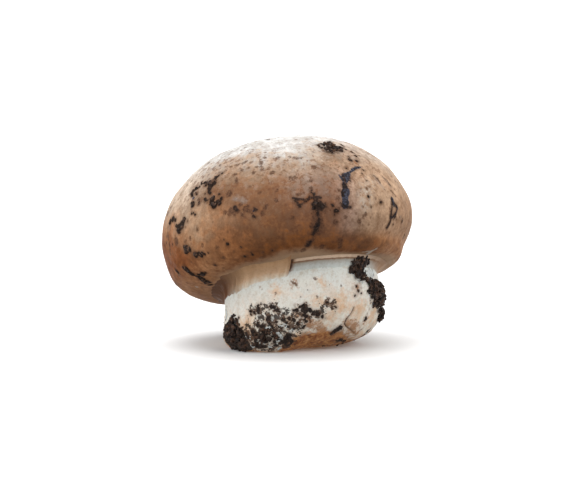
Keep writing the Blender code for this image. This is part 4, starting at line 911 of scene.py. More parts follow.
def veil_material():
    """Tan satin membrane that fades into the white of the stem, brown on the left and back with painted shade in the
    hollow there; where it has torn, a tan roll, a dark painted shadow along the crease under the rim and a pale band
    greyed by painted shade.
    """
    n = Nodes("veil_membrane")
    flow = n.field("flow", "Vector")
    fall = n.field("fall")
    torn = n.field("torn")
    fibre = n.noise(1.1, 3.0, 0.6, flow)
    fine = n.noise(0.35, 2.0, 0.6, flow)
    small = n.noise(1.2, 3.0, 0.6)
    level = n.maths("ADD", fall, n.maths("MULTIPLY", n.maths("SUBTRACT", fibre, 0.5), 0.22))
    level = n.maths("ADD", level, n.maths("MULTIPLY", n.maths("SUBTRACT", small, 0.5), 0.26))
    skirt = n.ramp(level, [(0.00, (0.32, 0.160, 0.075)), (0.08, (0.50, 0.290, 0.150)), (0.30, (0.61, 0.365, 0.200)), (0.66, (0.66, 0.435, 0.270)),
                           (0.82, (0.68, 0.530, 0.385)), (0.96, (0.76, 0.730, 0.650))])
    crease = n.maths("ADD", fall, n.maths("MULTIPLY", n.maths("SUBTRACT", small, 0.5), 0.10))
    # torn part: the tan roll, then a painted shadow line along the crease under the rim, then grey-blue painted shade
    # fading to the stem
    torn_band_with_painted_shade = n.ramp(crease, [(0.00, (0.78, 0.540, 0.375)), (0.40, (0.90, 0.665, 0.490)), (0.46, (0.26, 0.135, 0.070)), (0.50, (0.34, 0.230, 0.160)),
                              (0.57, (0.50, 0.460, 0.400)), (0.76, (0.60, 0.620, 0.590)), (1.0, (0.66, 0.690, 0.650))])
    colour = n.mix(torn, skirt, torn_band_with_painted_shade)
    # left and back: brown skin of the rolled rim, darkened as painted shade in the hollow under the cap
    colour = n.mix(n.field("brown_skin_and_painted_shade"), colour, (0.135, 0.056, 0.025))
    colour = n.mix(0.22, colour, n.ramp(fibre, [(0.38, (0.84, 0.79, 0.74)), (0.50, (1.0, 1.0, 1.0)), (0.62, (1.10, 1.13, 1.16))]), "MULTIPLY")
    colour = n.mix(0.12, colour, n.ramp(fine, [(0.38, (0.86, 0.83, 0.80)), (0.50, (1.0, 1.0, 1.0))]), "MULTIPLY")
    colour = n.mix(0.4, colour, n.ramp(n.noise(0.5, 3.0, 0.65), [(0.38, (0.80, 0.74, 0.68)), (0.48, (1.0, 1.0, 1.0)), (0.62, (1.05, 1.06, 1.06))]), "MULTIPLY")
    dark = n.edge("dark", 0.09, 0.22, 0.16)
    colour = n.mix(n.maths("MULTIPLY", dark, 0.95), colour, (0.022, 0.015, 0.012))
    colour = n.mix(n.edge("white", 0.14, 0.3, 0.2), colour, (0.66, 0.70, 0.68))
    # the split: painted shade, near black in the slit and browner on both sides of it
    split = n.remap(n.field("crack"), 0.16, -0.03)
    colour = n.mix(n.maths("MULTIPLY", n.remap(n.field("crack"), 0.75, 0.05), 0.60), colour, (0.27, 0.110, 0.045))
    colour = n.mix(n.maths("MULTIPLY", split, 0.90), colour, (0.075, 0.027, 0.012))
    rough = n.remap(small, 0.3, 0.7, 0.50, 0.66, smooth=False)
    normal = n.bump(n.maths("ADD", fibre, n.maths("MULTIPLY", fine, 0.5)), 0.02, 0.6)
    return n.finish(colour, rough, normal, Specular_IOR_Level=0.08)


def soil_material(name, wet):
    """Damp peat: near black, with brown fibre, grey grit and a few wet glints."""
    n = Nodes(name)
    lump = n.noise(0.9, 3.0, 0.6)
    grain = n.noise(0.28, 3.0, 0.65)
    colour = n.ramp(lump, [(0.36, (0.009, 0.0055, 0.0046)), (0.48, (0.024, 0.0135, 0.0100)), (0.56, (0.052, 0.0275, 0.0180)), (0.66, (0.120, 0.062, 0.036))])
    colour = n.mix(0.6, colour, n.ramp(grain, [(0.35, (0.45, 0.45, 0.45)), (0.55, (1.0, 1.0, 1.0)), (0.75, (2.0, 1.8, 1.7))]), "MULTIPLY")
    dot = n.cells(0.50)
    pick = n.cells(0.50, output="Color")
    bit = n.maths("MULTIPLY", n.remap(dot, 0.32, 0.14), n.maths("GREATER_THAN", pick, 0.84 if wet else 0.74))
    colour = n.mix(n.maths("MULTIPLY", bit, 0.65), colour, (0.17, 0.088, 0.048))
    rough = n.remap(n.noise(0.7, 2.0, 0.5), 0.36, 0.62, 0.50 if wet else 0.70, 0.95)
    normal = n.bump(grain, 0.14, 0.9)
    return n.finish(colour, rough, normal, Specular_IOR_Level=0.20)


def tuft_material():
    """Loose white threads of mycelium."""
    n = Nodes("mycelium_white")
    colour = n.ramp(n.noise(0.6, 3.0, 0.65), [(0.30, (0.40, 0.40, 0.38)), (0.55, (0.66, 0.69, 0.67)), (0.75, (0.76, 0.79, 0.78))])
    return n.finish(colour, n.remap(n.noise(0.4), 0.3, 0.7, 0.55, 0.75), n.bump(n.noise(0.16, 2.0, 0.6), 0.06, 0.8), Specular_IOR_Level=0.3)


# ---------------------------------------------------------------- the cap
def build_cap(marks, material):
    phi = azimuths(CAP_COLUMNS)
    t = np.linspace(0.0, 1.0, CAP_SKIN_ROWS + 1)[1:]
    own = cap_skin(phi[None, :], t[:, None])
    grid = to_world(own)
    normal = grid_normals(grid)
    T, PHI = t[:, None] + 0 * phi, phi[None, :] + 0 * t[:, None]
    relief = cap_relief(own, PHI, T)
    fields = distance_fields(grid.reshape(-1, 3), marks, CAP_KINDS)
    stuck = np.minimum(np.minimum(fields["dark"], fields["smear"]), fields["blue"]).reshape(relief.shape)
    relief = relief + 0.05 * smoothstep(0.12, -0.12, stuck) * (0.8 + 0.6 * noise(grid, 0.5, 5))
    relief = relief - 0.03 * smoothstep(0.9, -0.2, fields["scuff"].reshape(relief.shape))
    relief = relief * smoothstep(1.004, 0.985, T)
    skin = grid + normal * relief[..., None]
    inner = [to_world(underside_ring(phi, share)) for share in (0.06, 0.14, 0.24, 0.36, 0.50, 0.64, 0.78, 0.90, 1.0)]
    inner += [to_world(neck_ring(phi, h, GAP + 0.05 - ROOT_TAPER * (h - SOCKET_MOUTH) / (SOCKET_TOP - SOCKET_MOUTH))) for h in (-10.5, -9.6, SOCKET_TOP)]
    rows = np.concatenate([skin, np.stack(inner)], 0)
    count = rows.shape[0]
    verts = np.vstack([rows.reshape(-1, 3), to_world(cap_skin(0.0, 0.0))[None] + normal[0].mean(0) * relief[0].mean(), rows[-1].mean(0)[None]])
    faces = triangles_of_tube(count, CAP_COLUMNS).tolist()
    crown, roof = len(verts) - 2, len(verts) - 1
    last = (count - 1) * CAP_COLUMNS
    faces += [[crown, c, (c + 1) % CAP_COLUMNS] for c in range(CAP_COLUMNS)]
    faces += [[roof, last + (c + 1) % CAP_COLUMNS, last + c] for c in range(CAP_COLUMNS)]
    extra = len(verts) - skin.shape[0] * CAP_COLUMNS

    def whole(values, fill):
        return np.concatenate([values.reshape(skin.shape[0] * CAP_COLUMNS, -1), np.tile(np.atleast_1d(fill), (extra, 1))]).squeeze()

    keep = {name: whole(f, 2.0) for name, f in fields.items()}
    back = around(BACK, PHI) * smoothstep(0.03, 0.15, T)
    lower_edge = around(PALE_ENDS_EARLY, PHI) * smoothstep(0.33, 0.45, T) * smoothstep(0.80, 0.60, T)
    keep["down"] = whole(T + lower_edge + around(RIM_STARTS_EARLY, PHI) * smoothstep(0.83, 0.90, T)
                         + 0.10 * back * smoothstep(0.08, 0.30, T) * smoothstep(0.90, 0.66, T), 1.0)
    keep["back"] = whole(back, 0.0)
    keep["down"][crown] = 0.0
    keep["flow"] = whole(radial(PHI, 16.0, T * PROFILE_LENGTH, 0.13), (0.0, 0.0, 6.0))
    side = own / np.linalg.norm(own, axis=-1, keepdims=True)
    left = smoothstep(0.665, 0.89, -np.cos(PHI)) * smoothstep(0.30, 0.55, T)
    pink = 0.85 * smoothstep(0.25, 1.0, side[..., 0] + 0.20 * side[..., 1]) * smoothstep(0.62, 0.40, T) * smoothstep(0.1, 0.3, T)
    keep["orange"] = whole(left, 0.0)
    keep["warmth"] = whole(around(WARMTH, PHI) * smoothstep(0.52, 0.68, T), 0.0)
    keep["pink"] = whole(pink, 0.0)
    keep["tan"] = whole(around(TAN_SIDE, PHI) * smoothstep(0.48, 0.62, T) * smoothstep(0.885, 0.825, T), 0.0)
    sink = smoothstep(0.58, 0.70, T)
    # the middle field: partly real chestnut tone, partly painted shade on the front
    keep["middle"] = whole(np.maximum(around(MIDDLE_ABOVE, PHI) * (1.0 - sink) + around(MIDDLE, PHI) * sink,
                                      around(BROWN_ABOVE_RIM, PHI) * smoothstep(0.84, 0.90, T)), 0.3)
    return mesh_object("cap_flesh", verts, faces, material, keep)


# ---------------------------------------------------------------- the stem
def stem_surface(phi, q):
    """The stem's skin with its relief, and its outward normal."""
    point, normal, _, _ = skin_frame("stem", phi, q)
    return point + normal * stem_relief(point, phi, q)[..., None], normal


def build_stem(marks, material):
    phi = azimuths(STEM_COLUMNS)
    q = np.linspace(0.0, 1.0, STEM_SKIN_ROWS)
    grid = stem_skin(phi[None, :], q[:, None])
    normal = grid_normals(grid)
    Q, PHI = q[:, None] + 0 * phi, phi[None, :] + 0 * q[:, None]
    fields = distance_fields(grid.reshape(-1, 3), marks, STEM_KINDS)
    shape = Q.shape
    relief = stem_relief(grid, PHI, Q)
    relief = relief - 0.30 * smoothstep(0.12, -0.08, fields["crack"].reshape(shape))
    relief = relief + 0.05 * smoothstep(0.55, 0.12, fields["crack"].reshape(shape)) * smoothstep(0.0, 0.2, fields["crack"].reshape(shape))
    relief = relief + 0.06 * smoothstep(0.12, -0.12, fields["dark"].reshape(shape)) * (0.8 + 0.6 * noise(grid, 0.5, 5))
    relief = relief + 0.10 * smoothstep(0.2, -0.3, fields["white"].reshape(shape))
    skin = grid + normal * relief[..., None]
    skin[..., 2] = np.maximum(skin[..., 2], 0.0)
    skin[-1, :, 2] = 0.0
    top = to_world(neck_ring(phi, SOCKET_TOP - GAP, -ROOT_TAPER))
    inner = [skin[-1] * (1 - w) + skin[-1].mean(0) * w for w in (0.06, 0.2, 0.45, 0.75)]
    rows = np.concatenate([top[None], skin, np.stack(inner)], 0)
    rows[-4:, :, 2] = 0.0
    count = rows.shape[0]
    verts = np.vstack([rows.reshape(-1, 3), top.mean(0)[None], rows[-1].mean(0)[None]])
    faces = triangles_of_tube(count, STEM_COLUMNS).tolist()
    head, foot = len(verts) - 2, len(verts) - 1
    last = (count - 1) * STEM_COLUMNS
    faces += [[head, c, (c + 1) % STEM_COLUMNS] for c in range(STEM_COLUMNS)]
    faces += [[foot, last + (c + 1) % STEM_COLUMNS, last + c] for c in range(STEM_COLUMNS)]

    def whole(values, before, after):
        flat = values.reshape(shape[0] * STEM_COLUMNS, -1)
        ahead = np.tile(np.atleast_1d(before), (STEM_COLUMNS, 1))
        behind = np.tile(np.atleast_1d(after), (len(verts) - STEM_COLUMNS - len(flat), 1))
        return np.concatenate([ahead, flat, behind]).squeeze()

    keep = {name: whole(f, 2.0, 2.0) for name, f in fields.items()}
    keep["fall"] = whole(Q, 0.0, 1.0)
    keep["flow"] = whole(radial(PHI + Q * around(STEM_SLANT, PHI), 16.0, Q * 18.0, 0.16), (0.0, 0.0, 0.0), (0.0, 0.0, 3.0))
    keep["base"] = whole(smoothstep(0.62, 1.0, Q) * around(BASE_BROWN, PHI), 0.0, 0.7)
    keep["grime"] = whole(smoothstep(0.44, 0.80, Q) * around(GRIME, PHI), 0.0, 0.5)
    return mesh_object("stem_flesh", verts, faces, material, keep)


# ---------------------------------------------------------------- the veil
def build_veil(stem_marks, material):
    """The skirt: from the cap's rolled rim, over the hollow, slanting down on to the stem, where it thins out.

    It has split at VEIL_TEAR. To the right of the split it has pulled back and only a narrow band is left on the stem.
    """
    phi = azimuths(VEIL_COLUMNS)
    deg = np.degrees(phi)
    torn = smoothstep(VEIL_TEAR - 0.35, VEIL_TEAR + 0.35, deg) * smoothstep(356.0, 322.0, deg)
    start = around(VEIL_START, phi) * (1.0 - torn) + 0.993 * torn
    top, inward, _, _ = skin_frame("cap", phi, start)
    ahead, behind = skin_point("cap", phi, np.minimum(start + 0.006, 1.0)), skin_point("cap", phi, start - 0.012)
    heading = ahead - behind
    heading /= np.linalg.norm(heading, axis=-1, keepdims=True)
    top = top - inward * (0.10 + 0.08 * torn)[:, None]
    ragged = fractal(radial(phi, 16.0, 0 * phi, 1.0), 1.6, 3, 71)
    drop = (around(VEIL_REACH, phi) + 0.22 * ragged) * (1.0 - torn) + (VEIL_TORN_REACH + 0.18 * ragged) * torn
    slant = around(VEIL_SLANT, phi)
    rows = np.linspace(0.0, 0.8, 160)
    low, low_normal, low_heading = np.empty_like(top), np.empty_like(top), np.empty_like(top)
    for k, a in enumerate(phi):
        column, outward = stem_surface(np.full(len(rows), a - slant[k]), rows)
        own = to_cap(column)[:, 2]
        level = to_cap(top[k])[2] - drop[k]
        q = np.interp(-level, -own, rows)
        j = min(int(q / 0.8 * 159), 157)
        low[k] = np.stack([np.interp(q, rows, column[:, i]) for i in range(3)])
        low_normal[k] = outward[j]
        low_heading[k] = column[j + 2] - column[j]
    low_heading /= np.linalg.norm(low_heading, axis=-1, keepdims=True)
    reach = np.linalg.norm(low - top, axis=-1, keepdims=True)
    w = np.linspace(0.0, 1.0, VEIL_OUTER_ROWS)[:, None, None]
    p1 = top + heading * reach * (0.42 - 0.20 * torn)[:, None]
    p2 = low + low_normal * 0.10 - low_heading * reach * 0.34
    outer = (1 - w) ** 3 * top + 3 * (1 - w) ** 2 * w * p1 + 3 * (1 - w) * w * w * p2 + w ** 3 * (low + low_normal * 0.02)
    normal = grid_normals(outer)
    W, PHI = w[..., 0] + 0 * phi, phi[None, :] + 0 * w[..., 0]
    along_it = radial(PHI, 20.0, W * 4.0, 0.16)
    fibres = fractal(along_it, 1.1, 3, 81)
    seam = distance_fields(outer.reshape(-1, 3), stem_marks, VEIL_KINDS)
    gap_side = np.abs(np.degrees(PHI) - VEIL_TEAR - 0.9 * noise(radial(PHI * 0, 1.0, W * 4.0, 1.0), 0.7, 87)) * math.radians(1.0) * 16.8
    split = gap_side - np.interp(W, (0.0, 0.10, 0.35, 0.75, 1.0), (0.02, 0.20, 0.17, 0.10, 0.02))
    fade = smoothstep(0.0, 0.10, W) * smoothstep(1.0, 0.90, W)
    relief = 0.016 * fibres * fade + 0.06 * fractal(outer, 2.2, 2, 83) * fade
    relief = relief - 0.45 * smoothstep(0.10, -0.08, split) + 0.12 * smoothstep(1.1, 0.25, split) * smoothstep(0.05, 0.25, split) * (1.0 - torn)
    relief = relief - 0.07 * torn * np.exp(-((W - 0.46) / 0.05) ** 2) - 0.17 * smoothstep(0.82, 1.0, W)
    outer = outer + normal * relief[..., None]
    thick = 0.30
    shares = np.linspace(1.0, 0.0, 9)
    index = (shares * (VEIL_OUTER_ROWS - 1)).astype(int)
    inner = outer[index] - normal[index] * thick
    inner[0] = outer[-1] - normal[-1] * 0.12
    rows_all = np.concatenate([outer, inner], 0)
    count = rows_all.shape[0]
    faces = triangles_of_tube(count, VEIL_COLUMNS).tolist()
    first, last = 0, (count - 1) * VEIL_COLUMNS
    faces += [[last + c, first + c, first + (c + 1) % VEIL_COLUMNS, last + (c + 1) % VEIL_COLUMNS] for c in range(VEIL_COLUMNS)]

    def whole(values, fill):
        flat = values.reshape(outer.shape[0] * VEIL_COLUMNS, -1)
        return np.concatenate([flat, np.tile(np.atleast_1d(fill), (inner.shape[0] * VEIL_COLUMNS, 1))]).squeeze()

    keep = {name: whole(f, 2.0) for name, f in seam.items()}
    keep["crack"] = whole(np.minimum(split, 2.0), 2.0)
    keep["fall"] = whole(W, 1.0)
    keep["torn"] = whole(torn[None, :] + 0 * W, 0.0)
    keep["flow"] = whole(along_it, (0.0, 0.0, 0.0))
    # where the veil is brown skin with painted shade, under the left and back of the cap
    keep["brown_skin_and_painted_shade"] = whole(around(VEIL_BROWN_AND_SHADE, PHI) * smoothstep(1.0, 0.88, W), 0.0)
    TREES["veil"] = tree_of(outer)
    return mesh_object("veil_membrane", rows_all.reshape(-1, 3), faces, material, keep)


# ---------------------------------------------------------------- soil
def ball(level):
    bm = bmesh.new()
    bmesh.ops.create_icosphere(bm, subdivisions=level, radius=1.0)
    verts = np.array([v.co[:] for v in bm.verts])
    faces = np.array([[v.index for v in f.verts] for f in bm.faces])
    bm.free()
    return verts, faces


BALLS = {1: ball(2), 2: ball(3)}


def lumps(count, faces):
    """The separate lumps of a mesh, each as the numbers of its points."""
    edges = np.array([(f[k], f[k - 1]) for f in faces for k in range(len(f))])
    group = np.arange(count)
    while True:
        low = np.minimum(group[edges[:, 0]], group[edges[:, 1]])
        after = group.copy()
        np.minimum.at(after, edges[:, 0], low)
        np.minimum.at(after, edges[:, 1], low)
        after = after[after]
        if np.array_equal(after, group):
            return [np.where(group == root)[0] for root in np.unique(group)]
        group = after


def settled(verts, faces, near=0.12, sink=0.06):
    """Lumps that hang free are let down on to the skin, or on to the lump beside them; the least of them are left out."""
    carried, waiting, gone = [], [], []
    for members in lumps(len(verts), faces):
        reach, step = 9.0, None
        for k in members[::max(1, len(members) // 400)]:
            for tree in TREES.values():
                hit, _, _, gap = tree.find_nearest(Vector(verts[k]))
                if hit is not None and gap < reach:
                    reach, step = gap, np.array(hit) - verts[k]
        if reach <= near:
            carried.append(members)
        else:
            waiting.append((reach, members, step))
    for reach, members, step in sorted(waiting, key=lambda w: w[0]):
        if len(members) < 16:
            gone.append(members)
            continue
        if carried:
            others = verts[np.concatenate(carried)]
            others = others[::max(1, len(others) // 12000)]
            own = verts[members[::max(1, len(members) // 150)]]
            gaps = np.linalg.norm(own[:, None] - others[None], axis=-1)
            a, b = np.unravel_index(gaps.argmin(), gaps.shape)
            if gaps[a, b] < reach:
                reach, step = gaps[a, b], others[b] - own[a]
        verts[members] += step * (1.0 + sink / max(reach, 1e-6))
        carried.append(members)
    if gone:
        keep = np.ones(len(verts), bool)
        keep[np.concatenate(gone)] = False
        order = np.cumsum(keep) - 1
        faces = [[int(order[k]) for k in f] for f in faces if keep[f[0]]]
        verts = verts[keep]
    return verts, faces


class Heap:
    """Granules of soil that are gathered and then grown together into one skin."""

    def __init__(self, seed):
        self.rng = np.random.default_rng(seed)
        self.verts, self.faces, self.count = [], [], 0

    def granule(self, place, normal, size, long=1.0, flat=1.0):
        verts, faces = BALLS[2 if size > 0.34 else 1]
        shift = self.rng.uniform(0.0, 50.0, 3)
        rough = 1.0 + 0.30 * noise(verts + shift, 0.9, 7) + 0.16 * noise(verts + shift, 0.42, 8)
        v = verts * rough[:, None] * size
        spin = self.rng.normal(size=3)
        spin -= spin.dot(normal) * normal
        spin /= np.linalg.norm(spin) + 1e-9
        other = np.cross(normal, spin)
        tip = self.rng.normal(0.0, 0.25)
        up = normal * math.cos(tip) + other * math.sin(tip)
        v = v[:, :1] * spin * long + v[:, 1:2] * np.cross(up, spin) / max(long, 1.0) ** 0.5 + v[:, 2:] * up * flat
        v = v + place
        v[:, 2] = np.maximum(v[:, 2], 0.03)
        self.verts.append(v)
        self.faces.append(faces + self.count)
        self.count += len(v)

    def along_mark(self, points, normals, radii, fill=1.0):
        """Granules strung along a mark, heavier where it is wide."""
        k = 0
        while k < len(points):
            r = max(radii[k], 0.10)
            for _ in range(1 + int(r > 0.3) + int(r > 0.5)):
                if self.rng.random() > fill:
                    continue
                size = np.clip(r * self.rng.uniform(0.38, 0.75), 0.09, 0.40)
                side = self.rng.normal(size=3) * 0.55 * max(r - 0.10, 0.0)
                side -= side.dot(normals[k]) * normals[k]
                self.granule(points[k] + side + normals[k] * size * self.rng.uniform(0.0, 0.35), normals[k], size,
                             self.rng.uniform(0.8, 1.4), self.rng.uniform(0.5, 0.9))
            k += max(1, int(r * self.rng.uniform(0.9, 1.9) / 0.2))

    def mound(self, skin, azimuth, v, width, height, turn, thickness, seed, fill=1.0, reach=1.0):
        """A heap over the whole footprint of a clump."""
        phi0, bend = math.radians(azimuth), math.radians(turn)
        _, _, reach_phi, reach_v = skin_frame(skin, phi0, v)
        area = 0.785 * width * height
        for _ in range(int(area * fill * 13.0)):
            a, r = self.rng.uniform(0.0, 2.0 * math.pi), math.sqrt(self.rng.random()) * reach
            lobes = 1.0 + 0.26 * float(fractal(np.array([math.cos(a), math.sin(a), 0.0]), 0.8, 2, seed))
            x, y = 0.5 * width * r * lobes * math.cos(a), 0.5 * height * r * lobes * math.sin(a)
            x, y = x * math.cos(bend) - y * math.sin(bend), x * math.sin(bend) + y * math.cos(bend)
            point, normal, _, _ = skin_frame(skin, np.array(phi0 + x / reach_phi), np.array(v + y / reach_v))
            top = (thickness + GAP) * max(1.0 - min(r, 1.0) ** 2.4, 0.0) ** 0.6
            size = self.rng.uniform(0.13, 0.40) * (1.0 - 0.30 * r)
            lift = self.rng.random() ** 0.7 * max(top - 0.6 * size, 0.0)
            self.granule(point + normal * lift, normal, size, self.rng.uniform(0.8, 2.1), self.rng.uniform(0.6, 1.1))

    def heaped(self, blobs, thickness):
        """Granules over the spots of a clump, as the front elevation shows them."""
        for u, v, r in blobs:
            for _ in range(int(30.0 * r * r + 10)):
                a, d = self.rng.uniform(0.0, 2.0 * math.pi), r * math.sqrt(self.rng.random())
                hit = seen("any", u + d * math.cos(a), v + d * math.sin(a))
                if hit is None:
                    continue
                size = self.rng.uniform(0.12, 0.36) * (1.0 - 0.30 * d / r)
                lift = self.rng.random() * max(thickness * (1.0 - 0.6 * (d / r) ** 2) - 0.6 * size, 0.0)
                self.granule(hit[0] + hit[1] * lift, hit[1], size, self.rng.uniform(0.8, 2.1), self.rng.uniform(0.6, 1.0))

    def piece(self, name, material, voxel=0.085, grit=0.045):
        """Grow the granules together and roughen the skin."""
        mesh = bpy.data.meshes.new(name + "_raw")
        mesh.from_pydata(np.vstack(self.verts).tolist(), [], np.vstack(self.faces).tolist())
        raw = bpy.data.objects.new(name + "_raw", mesh)
        bpy.context.collection.objects.link(raw)
        step = raw.modifiers.new("grow", "REMESH")
        step.mode, step.voxel_size, step.use_smooth_shade = "VOXEL", voxel, True
        graph = bpy.context.evaluated_depsgraph_get()
        grown = bpy.data.meshes.new_from_object(raw.evaluated_get(graph))
        count = len(grown.vertices)
        verts, normals = np.empty(count * 3), np.empty(count * 3)
        grown.vertices.foreach_get("co", verts)
        grown.vertices.foreach_get("normal", normals)
        verts, normals = verts.reshape(-1, 3), normals.reshape(-1, 3)
        verts = verts + normals * (grit * fractal(verts, 0.34, 2, 99))[:, None]
        verts, faces = settled(verts, [list(p.vertices) for p in grown.polygons])
        verts[:, 2] = np.maximum(verts[:, 2], 0.02)
        bpy.data.objects.remove(raw)
        bpy.data.meshes.remove(mesh)
        bpy.data.meshes.remove(grown)
        return mesh_object(name, verts, faces, material)


def owner(point, skin, homes):
    """The clump whose footprint a point of a mark lies in."""
    best, found = 1.0, None
    for name, home_skin, centre, size in homes:
        if home_skin == skin:
            d = np.linalg.norm(point - centre) / size
            if d < best:
                best, found = d, name
    return found


def build_soil(cap_marks, stem_marks, material, wet):
    homes = []
    for name, skin, azimuth, v, width, height, turn, thickness, seed in SOIL:
        centre = skin_frame(skin, math.radians(azimuth), v)[0]
        homes.append((name, skin, centre, 0.5 * max(width, height) + 0.7))
    heaps = {entry[0]: Heap(100 + entry[8]) for entry in SOIL}
    stray = {"cap": Heap(201), "stem": Heap(202)}
    for skin, marks in (("cap", cap_marks), ("stem", stem_marks)):
        for kind, points, normals, radii in marks:
            if kind not in ("dark", "solid"):
                continue
            name = owner(points.mean(0), skin, homes)
            heap = heaps[name] if name else stray[skin]
            heap.along_mark(points, normals, np.minimum(radii, 0.8), 0.85 if kind == "dark" else 1.0)
    for name, skin, azimuth, v, width, height, turn, thickness, seed in SOIL:
        fill, reach = MOUNDS.get(name, (0.0, 1.0))
        if fill:
            heaps[name].mound(skin, azimuth, v, width, height, turn, thickness, seed, fill, reach)
        elif not heaps[name].verts:
            heaps[name].mound(skin, azimuth, v, width, height, turn, thickness, seed, 0.5, 0.9)
        if name in HEAPED:
            heaps[name].heaped(*HEAPED[name])
        piece = heaps[name].piece(name + "_peat", wet if name in WET else material)
        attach(piece, "root")
        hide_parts(name)
    for skin, name in (("cap", "crumbs_on_cap"), ("stem", "crumbs_on_stem")):
        piece = stray[skin].piece(name, material, 0.075, 0.03)
        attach(piece, "root")


def build_tufts(stem_marks, material):
    """Raised white threads where the stem carries mycelium."""
    heap = Heap(301)
    for kind, points, normals, radii in stem_marks:
        if kind != "white":
            continue
        for point, normal, r in zip(points, normals, radii):
            for _ in range(4):
                side = heap.rng.normal(size=3) * r * 0.8
                side -= side.dot(normal) * normal
                heap.granule(point + side + normal * 0.05, normal, heap.rng.uniform(0.09, 0.2), heap.rng.uniform(1.4, 3.4), 0.6)
    piece = heap.piece("mycelium_tufts", material, 0.07, 0.02)
    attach(piece, "root")


# ---------------------------------------------------------------- tables for the finish
CAP_KINDS = ("dark", "smear", "blue", "brown", "rust", "grey", "bright", "scuff")
STEM_KINDS = ("dark", "fleck", "solid", "rub", "crack", "rust", "peach", "grey", "white")
VEIL_KINDS = ("dark", "white")
MIDDLE = {0: 0.3, 45: 0.65, 120: 0.8, 168: 0.35, 205: 0.0, 222: 0.06, 236: 0.40, 250: 0.88, 262: 1.0, 298: 1.0, 308: 0.75, 320: 0.25, 332: 0.15, 345: 0.15}     # how chestnut the side is: partly real chestnut tone, partly painted shade, fullest on the front that faces the camera
# the same higher up the cap: partly real chestnut tone, partly painted shade on the front
MIDDLE_ABOVE = {0: 0.3, 45: 0.65, 120: 0.8, 168: 0.35, 198: 0.12, 208: 0.25, 220: 0.7, 232: 1.0, 250: 1.0, 298: 1.0, 312: 0.8, 325: 0.4, 345: 0.15}
BACK = {0: 0.55, 35: 0.9, 80: 1.0, 150: 1.0, 175: 0.8, 192: 0.25, 206: 0.0, 325: 0.0, 345: 0.2}     # how much browner and darker the far side is, partly painted shade against the brighter light from the softbox behind
PALE_ENDS_EARLY = {0: 0.02, 60: 0.0, 190: 0.0, 212: 0.01, 226: 0.05, 240: 0.09, 256: 0.06, 265: 0.02, 275: -0.03, 287: 0.0, 298: 0.04, 318: 0.065, 338: 0.04}     # where the pale crown gives way sooner
WARMTH = {0: 0.0, 60: 0.0, 150: 0.3, 194: 0.6, 210: 0.9, 224: 0.25, 238: 0.6, 252: 0.3, 264: -0.15, 274: -0.6, 288: -0.85, 298: -0.70, 306: -0.1, 316: 0.1, 345: 0.1}     # redder to the left of the middle, greyer to the right
BROWN_ABOVE_RIM = {0: 0.2, 60: 0.0, 290: 0.0, 300: 0.85, 314: 0.9, 328: 0.35, 345: 0.2}     # chestnut again, just above the rim
RIM_STARTS_EARLY = {0: 0.0, 238: 0.0, 254: 0.012, 266: 0.032, 284: 0.020, 297: -0.020, 312: -0.036, 328: -0.026, 345: 0.0}     # where the tan rim starts sooner or later
TAN_SIDE = {0: 0.5, 40: 0.2, 90: 0.0, 130: 0.3, 160: 0.0, 290: 0.05, 300: 0.85, 311: 1.1, 332: 0.9, 346: 0.7}     # how pale the side is between crown and rim
BASE_BROWN = {0: 1.4, 60: 1.4, 120: 1.1, 180: 1.2, 230: 0.8, 262: 1.2, 275: 3.0, 290: 3.6, 312: 3.2, 325: 1.8, 340: 1.1}
# how much of the veil is brown skin darkened by painted shade, in the hollow under the left and back
VEIL_BROWN_AND_SHADE = {0: 0.45, 60: 0.6, 110: 0.7, 170: 1.0, 215: 1.0, 228: 0.55, 240: 0.0, 305: 0.0, 325: 0.25, 345: 0.5}
GRIME = {0: 0.2, 40: 0.6, 80: 0.9, 120: 1.0, 170: 0.75, 200: 0.8, 225: 0.5, 250: 0.2, 270: 0.0, 320: 0.0, 345: 0.1}
VEIL_START = {0: 0.975, 60: 0.955, 120: 0.96, 180: 0.965, 225: 0.955, 250: 0.945, 266: 0.945, 285: 0.955, 300: 0.965, 330: 0.975}
VEIL_REACH = {0: 2.4, 60: 2.8, 120: 3.2, 180: 3.6, 210: 4.0, 228: 4.4, 245: 4.0, 258: 3.7, 269: 3.4, 285: 3.0, 300: 2.4, 330: 2.2}
VEIL_SLANT = {0: 0.05, 90: 0.10, 180: 0.20, 215: 0.30, 245: 0.26, 269: 0.15, 290: 0.04, 330: 0.0}     # radians that it turns on the way down
VEIL_TEAR = 269.0                   # azimuth where the veil has split; it has pulled back to the right of it
VEIL_TORN_REACH = 2.5
VEIL_MARKS = [("white", [(14.3, 0.0, 0.20), (15.4, 0.2, 0.16), (16.4, 0.8, 0.10)])]
TUFT_MARKS = [("white", [(14.2, -4.4, 0.45), (14.6, -5.0, 0.5), (15.2, -4.4, 0.45)]), ("white", [(15.4, -3.8, 0.4), (15.9, -4.6, 0.4), (14.9, -5.6, 0.3)]),
              ("white", [(13.6, -5.6, 0.3), (14.0, -6.2, 0.3)])]
MOUNDS = {"soil_cap_top": (0.16, 0.8), "soil_collar": (0.35, 0.62), "soil_right": (1.0, 0.98), "soil_right_tail": (0.7, 0.9),
          "soil_base_left": (1.0, 1.0), "soil_base_front": (0.22, 0.8), "soil_base_back": (0.8, 0.95), "soil_front_upper": (0.0, 0.8),
          "soil_cap_back": (0.6, 0.9)}
HEAPED = {"soil_collar": ([(11.8, -3.6, 0.70), (12.6, -2.6, 0.90), (13.6, -2.0, 1.00), (14.6, -2.0, 0.80), (12.8, -3.8, 0.90), (13.8, -3.0, 0.85), (12.6, -4.8, 0.40), (11.6, -4.3, 0.50)], 0.8),
          "soil_right": ([(14.6, -5.8, 0.34), (15.2, -6.3, 0.70), (15.8, -7.2, 0.90), (15.6, -8.2, 0.80), (16.2, -9.2, 0.80), (16.6, -10.6, 0.70), (17.2, -11.8, 0.60), (17.4, -13.2, 0.40)], 1.0)}
WET = ("soil_right", "soil_collar", "soil_base_left")


